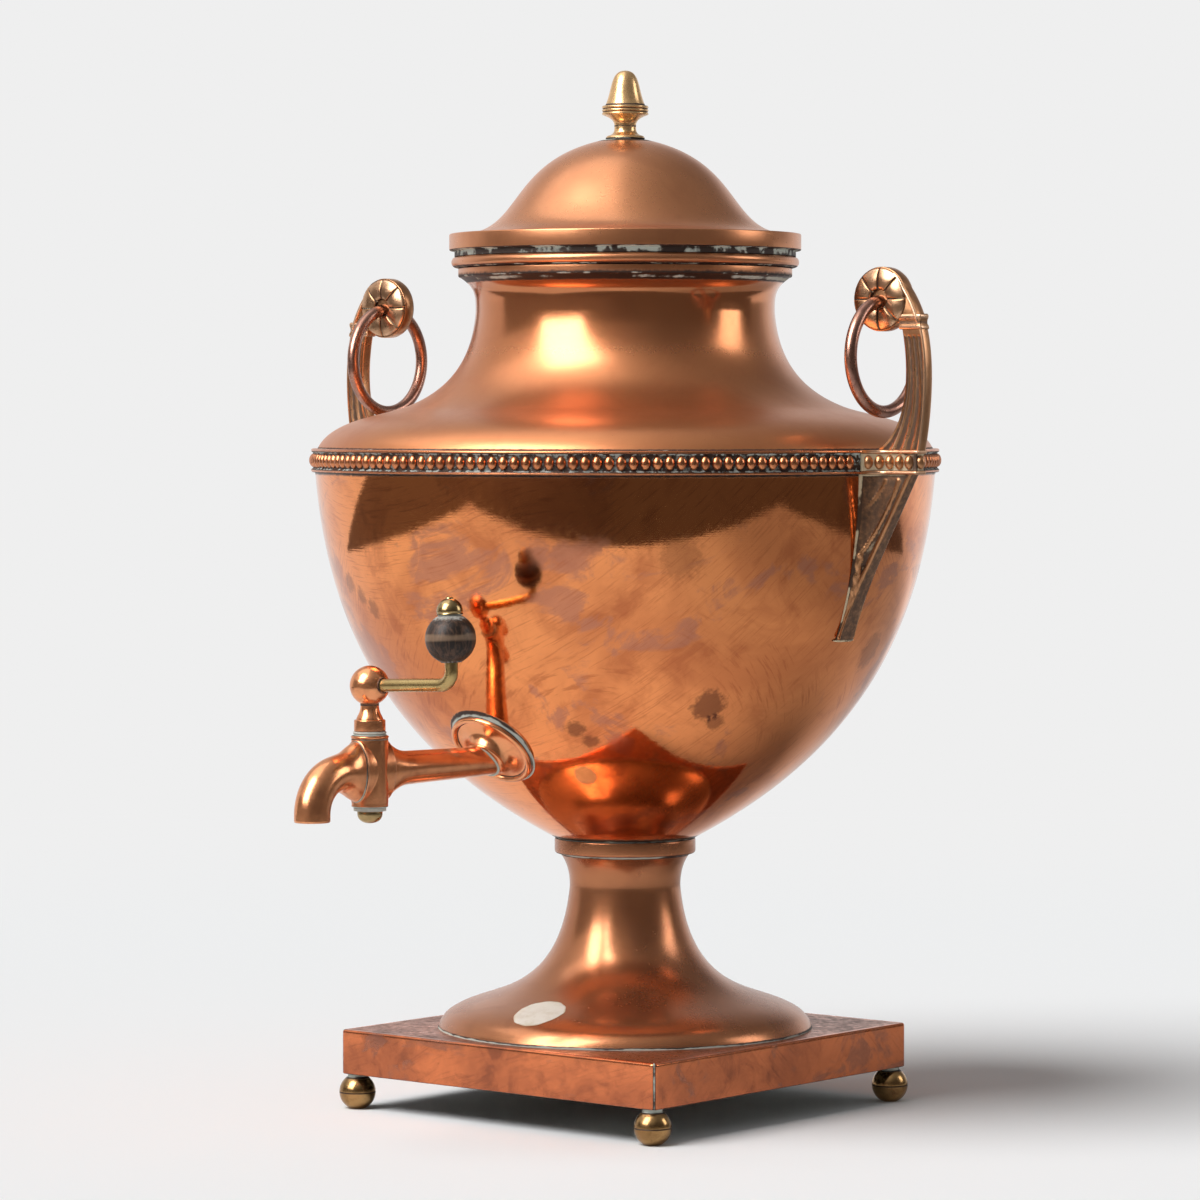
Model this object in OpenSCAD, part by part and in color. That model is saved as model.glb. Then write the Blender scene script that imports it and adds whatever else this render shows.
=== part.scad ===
// Hot-water urn of sheet copper with a tap, two ring handles and a lift-off lid.
// Millimetres, Z up. The origin is on the urn's axis, in the plane it stands on.
// The tap points along -Y and the handles stand at +X and -X.

/* [Plinth and feet] */
// Side of the square plinth
plinth_side = 175.5; // [150:0.5:210]
// Height of the plinth
plinth_h = 19.2; // [15:0.2:28]
// Radius of the plinth's upright corners
plinth_corner_r = 2.5; // [1.7:0.1:6]
// Sheet of the plinth's top and sides
plinth_sheet = 1.6; // [1.2:0.1:2.4]
// Side of the block inside each corner that takes a foot's stud
corner_block = 15; // [12:0.5:20]
// Height of the corner blocks
corner_block_h = 7; // [5:0.5:10]
// Height of a foot, table to plinth
foot_h = 15.2; // [12:0.1:20]
// Diameter of a foot's ball
foot_ball_d = 15.8; // [12:0.1:20]
// Distance of a foot's axis in from the plinth's sides
foot_inset = 5.2; // [5:0.1:12]
// Diameter of a foot's flat underside
foot_flat_d = 6.4; // [4:0.2:9]
// Diameter of the neck between ball and plinth
foot_neck_d = 8; // [6.4:0.2:10]
// Diameter of a foot's stud
foot_stud_d = 4; // [3:0.2:5]

/* [Pedestal] */
// Diameter of the pedestal where it meets the plinth
pedestal_d = 163.2; // [140:0.5:170]
// Height of the pedestal, plinth to collar
pedestal_h = 76; // [60:1:100]
// Width of the rounded toe at its edge
toe_w = 6.8; // [4:0.2:10]
// Height of the rounded toe
toe_h = 8.2; // [5:0.2:12]
// Diameter of the stem at its waist
stem_d = 48.2; // [40:0.2:56]
// Height of the waist above the plinth
stem_waist_h = 61.7; // [48:0.5:66]
// Diameter of the stem under the collar
stem_top_d = 57; // [52:0.5:60]
// Sheet of the pedestal
pedestal_sheet = 1.6; // [1.2:0.1:2.4]
// Diameter of the collar under the bowl
collar_d = 61.4; // [61:0.2:70]
// Height of the collar
collar_h = 7; // [5:0.2:10]

/* [Bowl and band] */
// Diameter of the bowl at the band
bowl_d = 269; // [240:1:300]
// Height of the bowl, collar to band
bowl_h = 158.8; // [140:1:180]
// Rise of the bowl's floor where it leaves the collar, degrees
bowl_floor_angle = 27.9; // [20:0.5:36]
// Reach of that rise along the bowl's curve
bowl_floor_pull = 74; // [60:1:84]
// Lean of the wall at the band, degrees from upright
bowl_lean = 4.5; // [2:0.5:8]
// Reach of the upright part along the bowl's curve
bowl_wall_pull = 75; // [60:1:84]
// Sheet of the bowl and the shoulder
vessel_sheet = 1.6; // [1.2:0.1:2.4]
// Height of the beaded band
band_h = 10.2; // [9.4:0.1:13]
// How far the band's fillets stand out of the bowl
band_proud = 1.7; // [1.3:0.1:3]
// How far the channel between the fillets stands out of the bowl
channel_proud = 0.7; // [0.3:0.1:1]
// Height of each fillet
fillet_h = 1.7; // [1.2:0.1:1.9]
// Width of a bead
bead_w = 4; // [3:0.1:4.6]
// Height of a bead
bead_h = 5.8; // [4.6:0.1:6.4]
// Gap between two beads
bead_gap = 0.93; // [0.5:0.01:2]

/* [Shoulder, neck and mouth] */
// Height of the shoulder and neck, band to mouth ring
shoulder_h = 73.9; // [60:1:90]
// Diameter of the neck
neck_d = 129.8; // [110:0.5:144]
// Height of the narrowest part above the band
neck_h = 59; // [48:0.5:64]
// Diameter where shoulder and neck meet
shoulder_mid_d = 190.4; // [170:1:210]
// Height of that line above the band
shoulder_mid_h = 17.9; // [14:0.5:24]
// Diameter of the top of the hollow under the mouth ring
cove_d = 143; // [134:0.5:150]
// Inside diameter of the mouth ring
mouth_d = 124.6; // [104:0.2:126]
// Diameter of the ring's lower step
mouth_step_d = 144.8; // [143:0.2:152]
// Height of the lower step
mouth_step_h = 4.2; // [3:0.2:6]
// Diameter of the ring's round moulding
mouth_ring_d = 150.8; // [146:0.2:158]
// Height of the round moulding
mouth_ring_h = 4.7; // [4:0.1:6]

/* [Lid] */
// Diameter of the lid's upright edge
lid_d = 152.6; // [146:0.2:164]
// Height of the upright edge
lid_edge_h = 7.2; // [5.6:0.2:9]
// Height of the hollow between edge and mouth ring
lid_groove_h = 2.6; // [2:0.1:4]
// Depth of that hollow
lid_groove_depth = 2.3; // [1.5:0.1:3]
// How far the lid's skirt hangs into the mouth
skirt_h = 11; // [8:0.5:16]
// Sheet of the lid
lid_sheet = 1.3; // [1:0.1:2]
// Height of the dome above the lid's edge
dome_h = 41; // [34:0.5:50]
// Width of the flat ledge between the dome's foot and the lid's edge
dome_inset = 4.3; // [3.4:0.1:6]
// Diameter of the finial's base
finial_d = 17; // [15:0.2:20]
// Height of the finial
finial_h = 29.8; // [26:0.2:34]
// Diameter of the finial's rings
finial_ring_d = 20.2; // [18:0.2:22]
// Diameter of the finial's waist
finial_waist_d = 9.4; // [7.6:0.2:11]
// Diameter of the finial's stud
finial_stud_d = 5; // [4:0.2:6]

/* [Heater] */
// Diameter of the heater tube in the vessel
heater_d = 56; // [44:0.5:60]
// Wall of the heater tube
heater_wall = 2; // [1.6:0.1:3]
// Height of the heater tube from the bowl's floor
heater_h = 214; // [180:1:218]
// Diameter of the bolt that ties bowl, collar and pedestal
tie_d = 9; // [7:0.5:11]

/* [Handles] */
// Thickness of a bracket's plate
bracket_t = 5.4; // [4.6:0.1:6.4]
// Height of the ring's eye above the band
eye_h = 62.6; // [56:0.2:70]
// Distance of the eye out from the bowl's edge
eye_out = 4.6; // [2:0.2:10]
// Distance of the strap's outer edge out from the bowl's edge
strap_out = 28.8; // [26:0.2:34]
// Width of the strap
strap_w = 9.8; // [8:0.2:12]
// Height of the moulded step between strap and head
step_h = 5.6; // [4:0.2:8]
// Width of the flutes in the strap
flute_w = 1.6; // [1.2:0.1:1.9]
// Depth of the flutes and height of the ribs
relief = 0.5; // [0.3:0.1:0.8]
// Width of the ribs on head and leg
rib_w = 1.3; // [0.9:0.1:1.8]
// Length of the leg below the band
leg_len = 69.2; // [56:0.2:80]
// Thickness of the leg's tip on the bowl
leg_tip = 3.2; // [2.6:0.1:5]
// Width of the leg's tip
leg_tip_w = 15; // [10:0.5:18]
// Width of the bracket's root where it spreads on the bowl
root_w = 21; // [16:0.5:26]
// Reach of that spread out from the wall
root_reach = 7; // [4:0.5:10]
// How far the beaded pad across the band stands out of the bowl's edge
pad_out = 24; // [21:0.2:26]
// How far the pad's fillets stand out of its sides
pad_fillet = 0.9; // [0.5:0.1:1.4]
// Diameter of a rosette
rosette_d = 26; // [24:0.2:30]
// How far a rosette stands out of the bracket
rosette_proud = 2; // [1.6:0.1:3]
// Diameter of the rosette's hole
eye_d = 8.4; // [7.6:0.1:9.4]
// Diameter of a ring's wire
ring_wire_d = 5.3; // [4.6:0.1:6]
// Diameter of a ring, centre to centre of its wire
ring_d = 46; // [40:0.5:54]

/* [Tap] */
// Height of the tap's bore above the bowl's floor
tap_h = 38.1; // [32:0.1:50]
// Distance of the plug's axis out from the bowl's wall
tap_out = 81; // [70:0.5:95]
// Diameter of the plate on the bowl's wall
plate_d = 37.8; // [32:0.2:42]
// Height of the plate's neck above the wall
plate_h = 7; // [5:0.2:9]
// Diameter of the plate's neck
plate_neck_d = 17.6; // [17.4:0.2:20]
// Diameter of the shank at the plate
shank_d = 11.9; // [11:0.1:12.2]
// Diameter of the shank near the barrel
shank_root_d = 14; // [12:0.1:15]
// Diameter of the shank's bore
shank_bore = 7; // [5:0.2:8]
// Height of the flare where shank and spout join the barrel
flare_h = 24.2; // [20:0.2:27]
// Half width of that flare, as a share of its half height
flare_flat = 0.54; // [0.5:0.01:0.55]
// Length of that flare along the shank
flare_len = 22; // [18:0.5:28]
// How far the rim round that flare stands out of it
flare_rim = 0.7; // [0.3:0.1:1]
// Diameter of the barrel
barrel_d = 15.2; // [14.4:0.1:17]
// Height of the barrel
barrel_h = 30.2; // [28:0.2:36]
// Diameter of the plug in the barrel
plug_d = 10.6; // [10:0.1:11]
// Diameter of the plug's cross bore
plug_bore = 6.4; // [5:0.2:7]
// Reach of the spout from the plug's axis
spout_out = 34.5; // [30:0.5:44]
// Drop of the spout's mouth below the bore
spout_drop = 19; // [18:0.5:30]
// Radius of the spout's bend
spout_bend_r = 16.2; // [14:0.2:17]
// Diameter of the spout
spout_d = 14.8; // [13.6:0.1:15.4]
// Diameter of the spout's bore
spout_bore = 11.2; // [9:0.1:11.6]

/* [Tap lever] */
// Diameter of the collar on top of the plug
plug_collar_d = 12.9; // [12:0.1:15]
// Height of that collar
plug_collar_h = 4.9; // [4:0.1:6]
// Diameter of the plug's neck
plug_neck_d = 7.6; // [7:0.1:9]
// Diameter of the ball on the plug
plug_ball_d = 16.4; // [15:0.1:19]
// Height of the ball's centre above the barrel
plug_ball_h = 19.8; // [18:0.2:23]
// Diameter of the lever's rod
rod_d = 5.4; // [4.8:0.1:6]
// Length of the lever, plug's axis to grip's axis
lever_len = 47.2; // [36:0.2:54]
// Rise of the lever, degrees
lever_rise = 2.4; // [0:0.2:6]
// Radius of the lever's bend
lever_bend_r = 6; // [5:0.2:8]
// Height of the grip's centre above the rod
grip_h = 18.8; // [18.4:0.2:24]
// Diameter of the wooden grip
grip_d = 20.6; // [18:0.2:21.6]
// Diameter of the brass cap on the grip
cap_d = 10.8; // [9:0.2:13]
// Height of the brass cap
cap_h = 7; // [5:0.2:8]
// Direction of the lever at rest, degrees from +X towards +Y
lever_rest = -3; // [-10:1:60]
// Diameter of the screw's head under the barrel
screw_head_d = 10.4; // [9:0.1:11]

/* [Clearances] */
// Radial gap between plug and barrel
plug_gap = 0.05; // [0.02:0.01:0.08]
// Radial gap between the lid's skirt and the mouth
skirt_gap = 0.5; // [0.4:0.05:1]
// Gap between parts that rest on each other but come apart
rest_gap = 0.08; // [0.05:0.01:0.12]
// Radial gap round studs and bolts
stud_gap = 0.15; // [0.1:0.05:0.3]
// Gap under a ring's wire in its eye
eye_gap = 0.8; // [0.7:0.05:0.9]

/* [Hidden] */
$fn = 96;

copper = [0.78, 0.42, 0.25];
dark_copper = [0.5, 0.27, 0.18];
bronze = [0.55, 0.38, 0.24];
brass = [0.74, 0.6, 0.32];
wood = [0.22, 0.15, 0.12];
iron = [0.25, 0.24, 0.24];
fibre = [0.8, 0.78, 0.72];
eps = 0.01;
// How far a cut runs on past the piece that it trims
past = 40;

// Heights, table upwards
z_plinth = foot_h;
z_ped = z_plinth + plinth_h;
z_collar = z_ped + pedestal_h;
z_bowl = z_collar + collar_h;
z_band = z_bowl + bowl_h;
z_shoulder = z_band + band_h;
z_mouth = z_shoulder + shoulder_h;
z_rim = z_mouth + mouth_step_h + mouth_ring_h;
z_lid = z_rim + rest_gap;
z_lid_top = z_lid + lid_groove_h + lid_edge_h;
z_finial = z_lid_top + dome_h;
z_floor = z_bowl + vessel_sheet;
z_heater_top = z_floor + heater_h;
z_tap = z_bowl + tap_h;
z_eye = z_shoulder + eye_h;

bowl_r = bowl_d / 2;
band_r = bowl_r + band_proud;
seat_r = bowl_r + channel_proud;
dome_foot_d = lid_d - 2 * dome_inset;
foot_xy = plinth_side / 2 - foot_inset;
eye_x = bowl_r + eye_out;
ring_axis_z = z_eye - (eye_d / 2 - ring_wire_d / 2 - eye_gap);

// Curves
function polar(l, a) = [l * cos(a), l * sin(a)];
function unit(v) = v / norm(v);
function flip(p) = [for (i = [len(p) - 1:-1:0]) p[i]];
function mix(a, b, f) = a * (1 - f) + b * f;
function bez_at(q, t) =
  let(u = 1 - t) u * u * u * q[0] + 3 * u * u * t * q[1] + 3 * u * t * t * q[2] + t * t * t * q[3];
function bez(q, n = 16) = [for (i = [0:n]) bez_at(q, i / n)];
function tail(p) = [for (i = [1:len(p) - 1]) p[i]];
// Left-hand offset of an open line
function beside(p, t) = [
  for (i = [0:len(p) - 1])
    let(d = unit(p[min(len(p) - 1, i + 1)] - p[max(0, i - 1)]))
    p[i] + t * [-d[1], d[0]]
];
// Sheet of thickness t behind an outline that runs upwards, with level ends
function sheet(p, t) =
  let(q = beside(p, t), n = len(p) - 1)
  concat(p, flip([for (i = [0:n]) [q[i][0], i == 0 ? p[0][1] : i == n ? p[n][1]
    : min(max(q[i][1], p[0][1] + i * 0.02), p[n][1] - (n - i) * 0.02)]]));
// Strip of width w along an open line
function strip(p, w) = concat(beside(p, w / 2), flip(beside(p, -w / 2)));

bowl_curve = bez([
  [collar_d / 2, z_bowl],
  [collar_d / 2, z_bowl] + polar(bowl_floor_pull, bowl_floor_angle),
  [bowl_r, z_band] - polar(bowl_wall_pull, 90 - bowl_lean),
  [bowl_r, z_band]
], 32);
bowl_table = [for (p = bowl_curve) [p[1], p[0]]];
function bowl_at(z) = lookup(z, bowl_table);
function bowl_slope(z) = atan((bowl_at(z + 3) - bowl_at(z - 3)) / 6);

pedestal_curve = concat(
  bez([
    [pedestal_d / 2, z_ped],
    [pedestal_d / 2 - toe_w * 0.15, z_ped + toe_h * 0.45],
    [pedestal_d / 2 - toe_w * 0.5, z_ped + toe_h * 0.78],
    [pedestal_d / 2 - toe_w, z_ped + toe_h]
  ], 6),
  tail(bez([
    [pedestal_d / 2 - toe_w, z_ped + toe_h],
    [pedestal_d / 2 - toe_w - 15.6, z_ped + toe_h + 8.9],
    [stem_d / 2 + 4.5, z_ped + toe_h + 5.6],
    [stem_d / 2, z_ped + stem_waist_h]
  ], 24)),
  tail(bez([
    [stem_d / 2, z_ped + stem_waist_h],
    [stem_d / 2, z_ped + stem_waist_h + 7.8],
    [stem_top_d / 2 - 1.9, z_collar - 2.1],
    [stem_top_d / 2, z_collar]
  ], 8))
);

shoulder_mid = [shoulder_mid_d / 2, z_shoulder + shoulder_mid_h];
shoulder_curve = bez([
  [bowl_r - 1.1, z_shoulder],
  [bowl_r - 1.1, z_shoulder] + polar(14, 115.8),
  shoulder_mid - polar(10.9, 159.5),
  shoulder_mid
], 14);
neck_curve = concat(
  bez([
    shoulder_mid,
    shoulder_mid + polar(22.9, 159.3),
    [neck_d / 2 + 1.4, z_shoulder + neck_h - 18],
    [neck_d / 2, z_shoulder + neck_h]
  ], 20),
  tail(bez([
    [neck_d / 2, z_shoulder + neck_h],
    [neck_d / 2, z_shoulder + neck_h + 7],
    [neck_d / 2, z_mouth - 4.4],
    [cove_d / 2, z_mouth]
  ], 10))
);

dome_curve = bez([
  [finial_d / 2, z_finial],
  [finial_d / 2, z_finial] + polar(44.5, -11.4),
  [dome_foot_d / 2 - 28.1, z_lid_top],
  [dome_foot_d / 2, z_lid_top]
], 30);

module at_z(z) translate([0, 0, z]) children();
module turn(p) rotate_extrude() polygon(p);
module both_sides() {
  children();
  mirror([0, 1, 0]) children();
}

// The vessel's outer body, for what is fitted against it
module vessel_body() {
  turn(concat(
    [[0, z_bowl]], bowl_curve, [[band_r, z_band], [band_r, z_shoulder]], shoulder_curve,
    tail(neck_curve), [[0, z_mouth]]
  ));
}

// Plinth and feet
module plinth() {
  half = plinth_side / 2;
  color(copper) difference() {
    union() {
      difference() {
        at_z(z_plinth) rounded_block(plinth_side, plinth_h, plinth_corner_r);
        at_z(z_plinth - eps)
          rounded_block(plinth_side - 2 * plinth_sheet, plinth_h - plinth_sheet + eps,
            plinth_corner_r - plinth_sheet);
      }
      for (x = [-1, 1], y = [-1, 1])
        scale([x, y, 1])
          translate([half - plinth_sheet / 2 - corner_block, half - plinth_sheet / 2 - corner_block, z_plinth])
            intersection() {
              cube([corner_block, corner_block, corner_block_h]);
              translate([0, 0, -eps]) cylinder(r = corner_block * 1.32, h = corner_block_h + 1);
            }
    }
    for (x = [-1, 1], y = [-1, 1])
      translate([x * foot_xy, y * foot_xy, z_plinth - 1])
        cylinder(d = foot_stud_d + 2 * stud_gap, h = corner_block_h + 2);
    at_z(z_ped - plinth_sheet - 1) cylinder(d = stem_d, h = plinth_sheet + 2);
  }
}

module rounded_block(side, h, r) {
  s = side / 2 - r;
  linear_extrude(h) union() {
    square([side, 2 * s], center = true);
    square([2 * s, side], center = true);
    for (x = [-s, s], y = [-s, s]) translate([x, y]) circle(r = r);
  }
}

module foot(x, y) {
  drop = sqrt(pow(foot_ball_d / 2, 2) - pow(foot_flat_d / 2, 2));
  color(brass) translate([x * foot_xy, y * foot_xy, 0]) {
    difference() {
      at_z(drop) sphere(d = foot_ball_d);
      translate([-foot_ball_d, -foot_ball_d, -foot_ball_d]) cube([2 * foot_ball_d, 2 * foot_ball_d, foot_ball_d]);
      at_z(foot_h - 0.6) cylinder(d = foot_ball_d, h = foot_ball_d);
    }
    at_z(drop) cylinder(d = foot_neck_d, h = foot_h - drop);
    at_z(drop) cylinder(d = foot_stud_d, h = foot_h - drop + corner_block_h + 4.2);
  }
}

module foot_front_right() foot(1, -1);
module foot_front_left() foot(-1, -1);
module foot_back_right() foot(1, 1);
module foot_back_left() foot(-1, 1);

module hex_nut(flats, h, bore) {
  difference() {
    cylinder(d = flats / cos(30), h = h, $fn = 6);
    at_z(-1) cylinder(d = bore, h = h + 2);
  }
}

module foot_nuts() {
  color(brass) for (x = [-1, 1], y = [-1, 1])
    translate([x * foot_xy, y * foot_xy, z_plinth + corner_block_h])
      difference() {
        cylinder(d = foot_stud_d + 2.2, h = 3);
        at_z(-1) cylinder(d = foot_stud_d + 2 * stud_gap, h = 5);
      }
}

// Pedestal and its tie bolt
module pedestal() {
  color(copper) turn(sheet(pedestal_curve, pedestal_sheet));
}

module collar() {
  r = collar_d / 2;
  e = collar_h * 0.22;
  color(copper) turn([
    [tie_d / 2 + stud_gap, z_collar], [r - e, z_collar], [r - e * 0.3, z_collar + e * 0.3],
    [r, z_collar + e], [r, z_bowl - e], [r - e * 0.3, z_bowl - e * 0.3], [r - e, z_bowl],
    [tie_d / 2 + stud_gap, z_bowl]
  ]);
}

module tie_bolt() {
  head_z = z_floor + heater_wall + 2;
  color(iron) {
    at_z(z_collar - 14) cylinder(d = tie_d, h = head_z + 1 - z_collar + 14);
    at_z(head_z) cylinder(d = tie_d * 1.8 / cos(30), h = 5, $fn = 6);
  }
}

module tie_nut() {
  color(iron) {
    at_z(z_collar - 2) difference() {
      cylinder(d = stem_top_d - 2 * pedestal_sheet - 8, h = 2);
      at_z(-1) cylinder(d = tie_d + 2 * stud_gap, h = 4);
    }
    at_z(z_collar - 9) difference() {
      cylinder(d = tie_d * 1.8 / cos(30), h = 7, $fn = 6);
      at_z(-1) cylinder(d = tie_d + 2 * stud_gap, h = 9);
    }
  }
}

// Vessel
plate_slope = bowl_slope(z_tap);
plate_z = z_tap + plate_h * sin(plate_slope);
plate_y = -bowl_at(plate_z);
plate_tilt = 90 + bowl_slope(plate_z);
module on_plate() translate([0, plate_y, plate_z]) rotate([plate_tilt, 0, 0]) children();

module bowl() {
  inner = beside(bowl_curve, vessel_sheet);
  n = len(bowl_curve) - 1;
  color(copper) difference() {
    turn(concat(
      [[tie_d / 2 + stud_gap, z_bowl]], bowl_curve,
      [[inner[n][0], z_band]], flip([for (i = [1:n - 1]) inner[i]]),
      [[inner[0][0], z_floor], [tie_d / 2 + stud_gap, z_floor]]
    ));
    on_plate() at_z(-12) cylinder(d = shank_bore + 3, h = 24);
  }
}

module band() {
  f = fillet_h;
  b = bowl_r - vessel_sheet;
  color(copper) turn([
    [b, z_band], [band_r - 0.4, z_band], [band_r, z_band + 0.4], [band_r, z_band + f - 0.3],
    [band_r - 0.3, z_band + f], [seat_r, z_band + f], [seat_r, z_shoulder - f],
    [band_r - 0.3, z_shoulder - f], [band_r, z_shoulder - f + 0.3], [band_r, z_shoulder - 0.4],
    [band_r - 0.4, z_shoulder], [b, z_shoulder]
  ]);
}

bead_pitch = bead_w + bead_gap;
bead_count = floor(360 / (2 * asin(bead_pitch / 2 / seat_r)));
// Half of an upright oval, flat at x = 0
module bead() rotate(-90) rotate_extrude(angle = 180)
  polygon([for (a = [-90:22.5:90]) [bead_w / 2 * cos(a), bead_h / 2 * sin(a)]]);

module bead_row() {
  z = (z_band + z_shoulder) / 2;
  color(copper) for (i = [0:bead_count - 1])
    let(a = (i + 0.5) * 360 / bead_count)
    if (abs(seat_r * sin(a)) > root_w / 2 + pad_fillet + bead_w / 2)
      rotate(a) translate([seat_r, 0, z]) bead();
}

module shoulder() {
  color(copper) turn(sheet(shoulder_curve, vessel_sheet));
}

module neck() {
  color(copper) turn(sheet(neck_curve, vessel_sheet));
}

module mouth_ring() {
  r = mouth_ring_d / 2;
  s = mouth_step_d / 2;
  m = mouth_d / 2;
  h = mouth_ring_h;
  zb = z_mouth + mouth_step_h;
  color(copper) turn(concat(
    [[m, z_mouth], [cove_d / 2, z_mouth], [s, z_mouth + 0.5], [s, zb - 0.6], [s - 0.6, zb]],
    [for (a = [-72:18:72]) [r - h / 2 + h / 2 * cos(a), zb + h / 2 + h / 2 * sin(a)]],
    [[r - h, z_rim], [m, z_rim]]
  ));
}

// Lid
module lid_edge() {
  r = lid_d / 2;
  g = r - lid_groove_depth;
  s = mouth_d / 2 - skirt_gap;
  w = s - lid_sheet;
  zb = z_lid + lid_groove_h;
  zt = z_lid_top;
  ledge = dome_foot_d / 2 + 2.2;
  color(copper) turn([
    [w, z_lid - skirt_h], [s, z_lid - skirt_h], [s, z_lid], [g, z_lid], [g, zb], [r - 0.5, zb],
    [r, zb + 0.5], [r, zt - 0.5], [r - 0.5, zt], [ledge, zt], [ledge, zt - lid_sheet],
    [ledge - 3, zt - lid_sheet], [ledge - 3, z_lid + lid_sheet], [w, z_lid + lid_sheet]
  ]);
}

module lid_dome() {
  ledge = dome_foot_d / 2 + 2.2;
  under = beside(dome_curve, -lid_sheet);
  n = len(dome_curve) - 1;
  hole = finial_stud_d / 2 + stud_gap;
  color(copper) turn(concat(
    [[hole, z_finial]], dome_curve, [[ledge, z_lid_top], [ledge, z_lid_top - lid_sheet]],
    [[under[n][0], z_lid_top - lid_sheet]], flip([for (i = [1:n - 1]) under[i]]),
    [[finial_d / 2 - 0.3, z_finial - lid_sheet], [hole, z_finial - lid_sheet]]
  ));
}

module finial() {
  r = finial_ring_d / 2;
  b = finial_d / 2;
  w = finial_waist_d / 2;
  z0 = z_finial;
  zr = z0 + finial_h * 0.35;
  p = 1.4;
  crown = bez([
    [r - 1.9, zr + 3 * p + 1.2], [r - 4.6, zr + 3 * p + 8.2], [r * 0.62, z0 + finial_h], [0, z0 + finial_h]
  ], 14);
  color(brass) turn(concat(
    [[0, z0 - lid_sheet - 7], [finial_stud_d / 2, z0 - lid_sheet - 7], [finial_stud_d / 2, z0],
     [b - 0.4, z0], [b, z0 + 0.4], [b, z0 + 1.1], [b - 0.6, z0 + 1.6]],
    bez([[b - 1.6, z0 + 1.8], [w, z0 + 2.6], [w, z0 + 4], [w, z0 + 5.6]], 8),
    bez([[w, z0 + 6], [w, z0 + 8.4], [r - 3, zr - 0.8], [r - 0.7, zr]], 8),
    [for (k = [0:2]) each [[r - 0.5, zr + k * p + 0.1], [r, zr + k * p + 0.45], [r, zr + k * p + 0.95],
      [r - 0.5, zr + k * p + 1.3]]],
    [[r - 1.6, zr + 3 * p + 0.2]],
    crown
  ));
}

module finial_nut() {
  color(brass) at_z(z_finial - lid_sheet - 4.4)
    hex_nut(finial_stud_d * 2, 4.4, finial_stud_d + 2 * stud_gap);
}

// Heater tube and its cover
module heater_tube() {
  r = heater_d / 2;
  base = heater_wall + 2;
  color(iron) turn([
    [tie_d / 2 + stud_gap, z_floor], [r, z_floor], [r, z_heater_top - 3], [r + 2, z_heater_top - 2],
    [r + 2, z_heater_top], [r - heater_wall, z_heater_top], [r - heater_wall, z_floor + base],
    [tie_d / 2 + stud_gap, z_floor + base]
  ]);
}

module heater_cover() {
  r = heater_d / 2;
  z = z_heater_top + rest_gap;
  color(copper) turn([
    [2.5 + stud_gap, z + 1.6], [6, z + 1.6], [r - heater_wall - 2, z], [r - heater_wall - 2, z - 5],
    [r - heater_wall - 0.5, z - 5], [r - heater_wall - 0.5, z], [r + 3, z], [r + 3, z + 1.5],
    [r - 2, z + 1.6], [6, z + 3.2], [2.5 + stud_gap, z + 3.2]
  ]);
}

module heater_knob() {
  z = z_heater_top + rest_gap + 3.2;
  color(brass) turn(concat(
    [[0, z - 4], [2.5, z - 4], [2.5, z], [5, z], [5, z + 1], [3, z + 2], [3, z + 4]],
    [for (a = [-55:15:80]) [6 * cos(a), z + 9 + 6 * sin(a)]],
    [[0, z + 15]]
  ));
}

// Handles. Points are the distance out from the bowl's edge and the height above the band.
leg_end = bowl_at(z_band - leg_len) - bowl_r;
strap_outer = [
  [strap_out - 3.9, eye_h - 10.4], [strap_out + 0.1, eye_h - 22.6],
  [strap_out - 0.2, 20], [pad_out + 0.6, 0]
];
strap_inner = [
  [strap_out - 3.9 - strap_w, eye_h - 10.4], [strap_out + 0.1 - strap_w, eye_h - 26.6],
  [strap_out + 1.1 - strap_w, 9.6], [3.2, 0]
];
leg_outer = [
  [pad_out - 2.6, -band_h + 0.8], [pad_out - 16.5, -band_h - 25.8],
  [leg_end + leg_tip + 5, -band_h - leg_len + 17.4], [leg_end + leg_tip, -band_h - leg_len]
];
head_r = rosette_d / 2 + 0.4;
head_edge = bez([
  strap_outer[0], strap_outer[0] + [-1.7, 6],
  [eye_out, eye_h] + polar(head_r, 58) + polar(7, -34), [eye_out, eye_h] + polar(head_r - 0.8, 68)
], 10);

module handle_frame() translate([bowl_r, 0, z_shoulder]) children();
// Plate of thickness t, centred on the XZ plane
module plate(t) rotate([90, 0, 0]) translate([0, 0, -t / 2]) linear_extrude(t) children();

module bracket_outline() {
  o = bez(strap_outer, 14);
  i = bez(strap_inner, 14);
  polygon(concat(o, [[pad_out - 1.6, -band_h / 2], [3.2, -band_h / 2]], flip(i)));
  translate([eye_out, eye_h]) circle(r = head_r);
  polygon(concat(head_edge, [[eye_out, eye_h], strap_inner[0]]));
}

module flutes() {
  n = 10;
  for (f = [0.12, 0.33, 0.6, 0.86])
    polygon(strip([for (k = [1:n - 1]) mix(bez_at(strap_inner, k / n), bez_at(strap_outer, k / n), f)], flute_w));
}

// One side of the bracket in plan: level from x, then spreading to half width w at the wall
function flank(x, wall, half, w) =
  let(reach = min(root_reach, (x - wall) * 0.9))
  concat(
    [[x, half]],
    [for (a = [0:15:90]) [wall + reach * (1 - sin(a)), half + (w - half) * (1 - cos(a))]],
    [[wall - 3, w]]
  );
function both_flanks(p) = concat(p, flip([for (q = p) [q[0], -q[1]]]));

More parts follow.
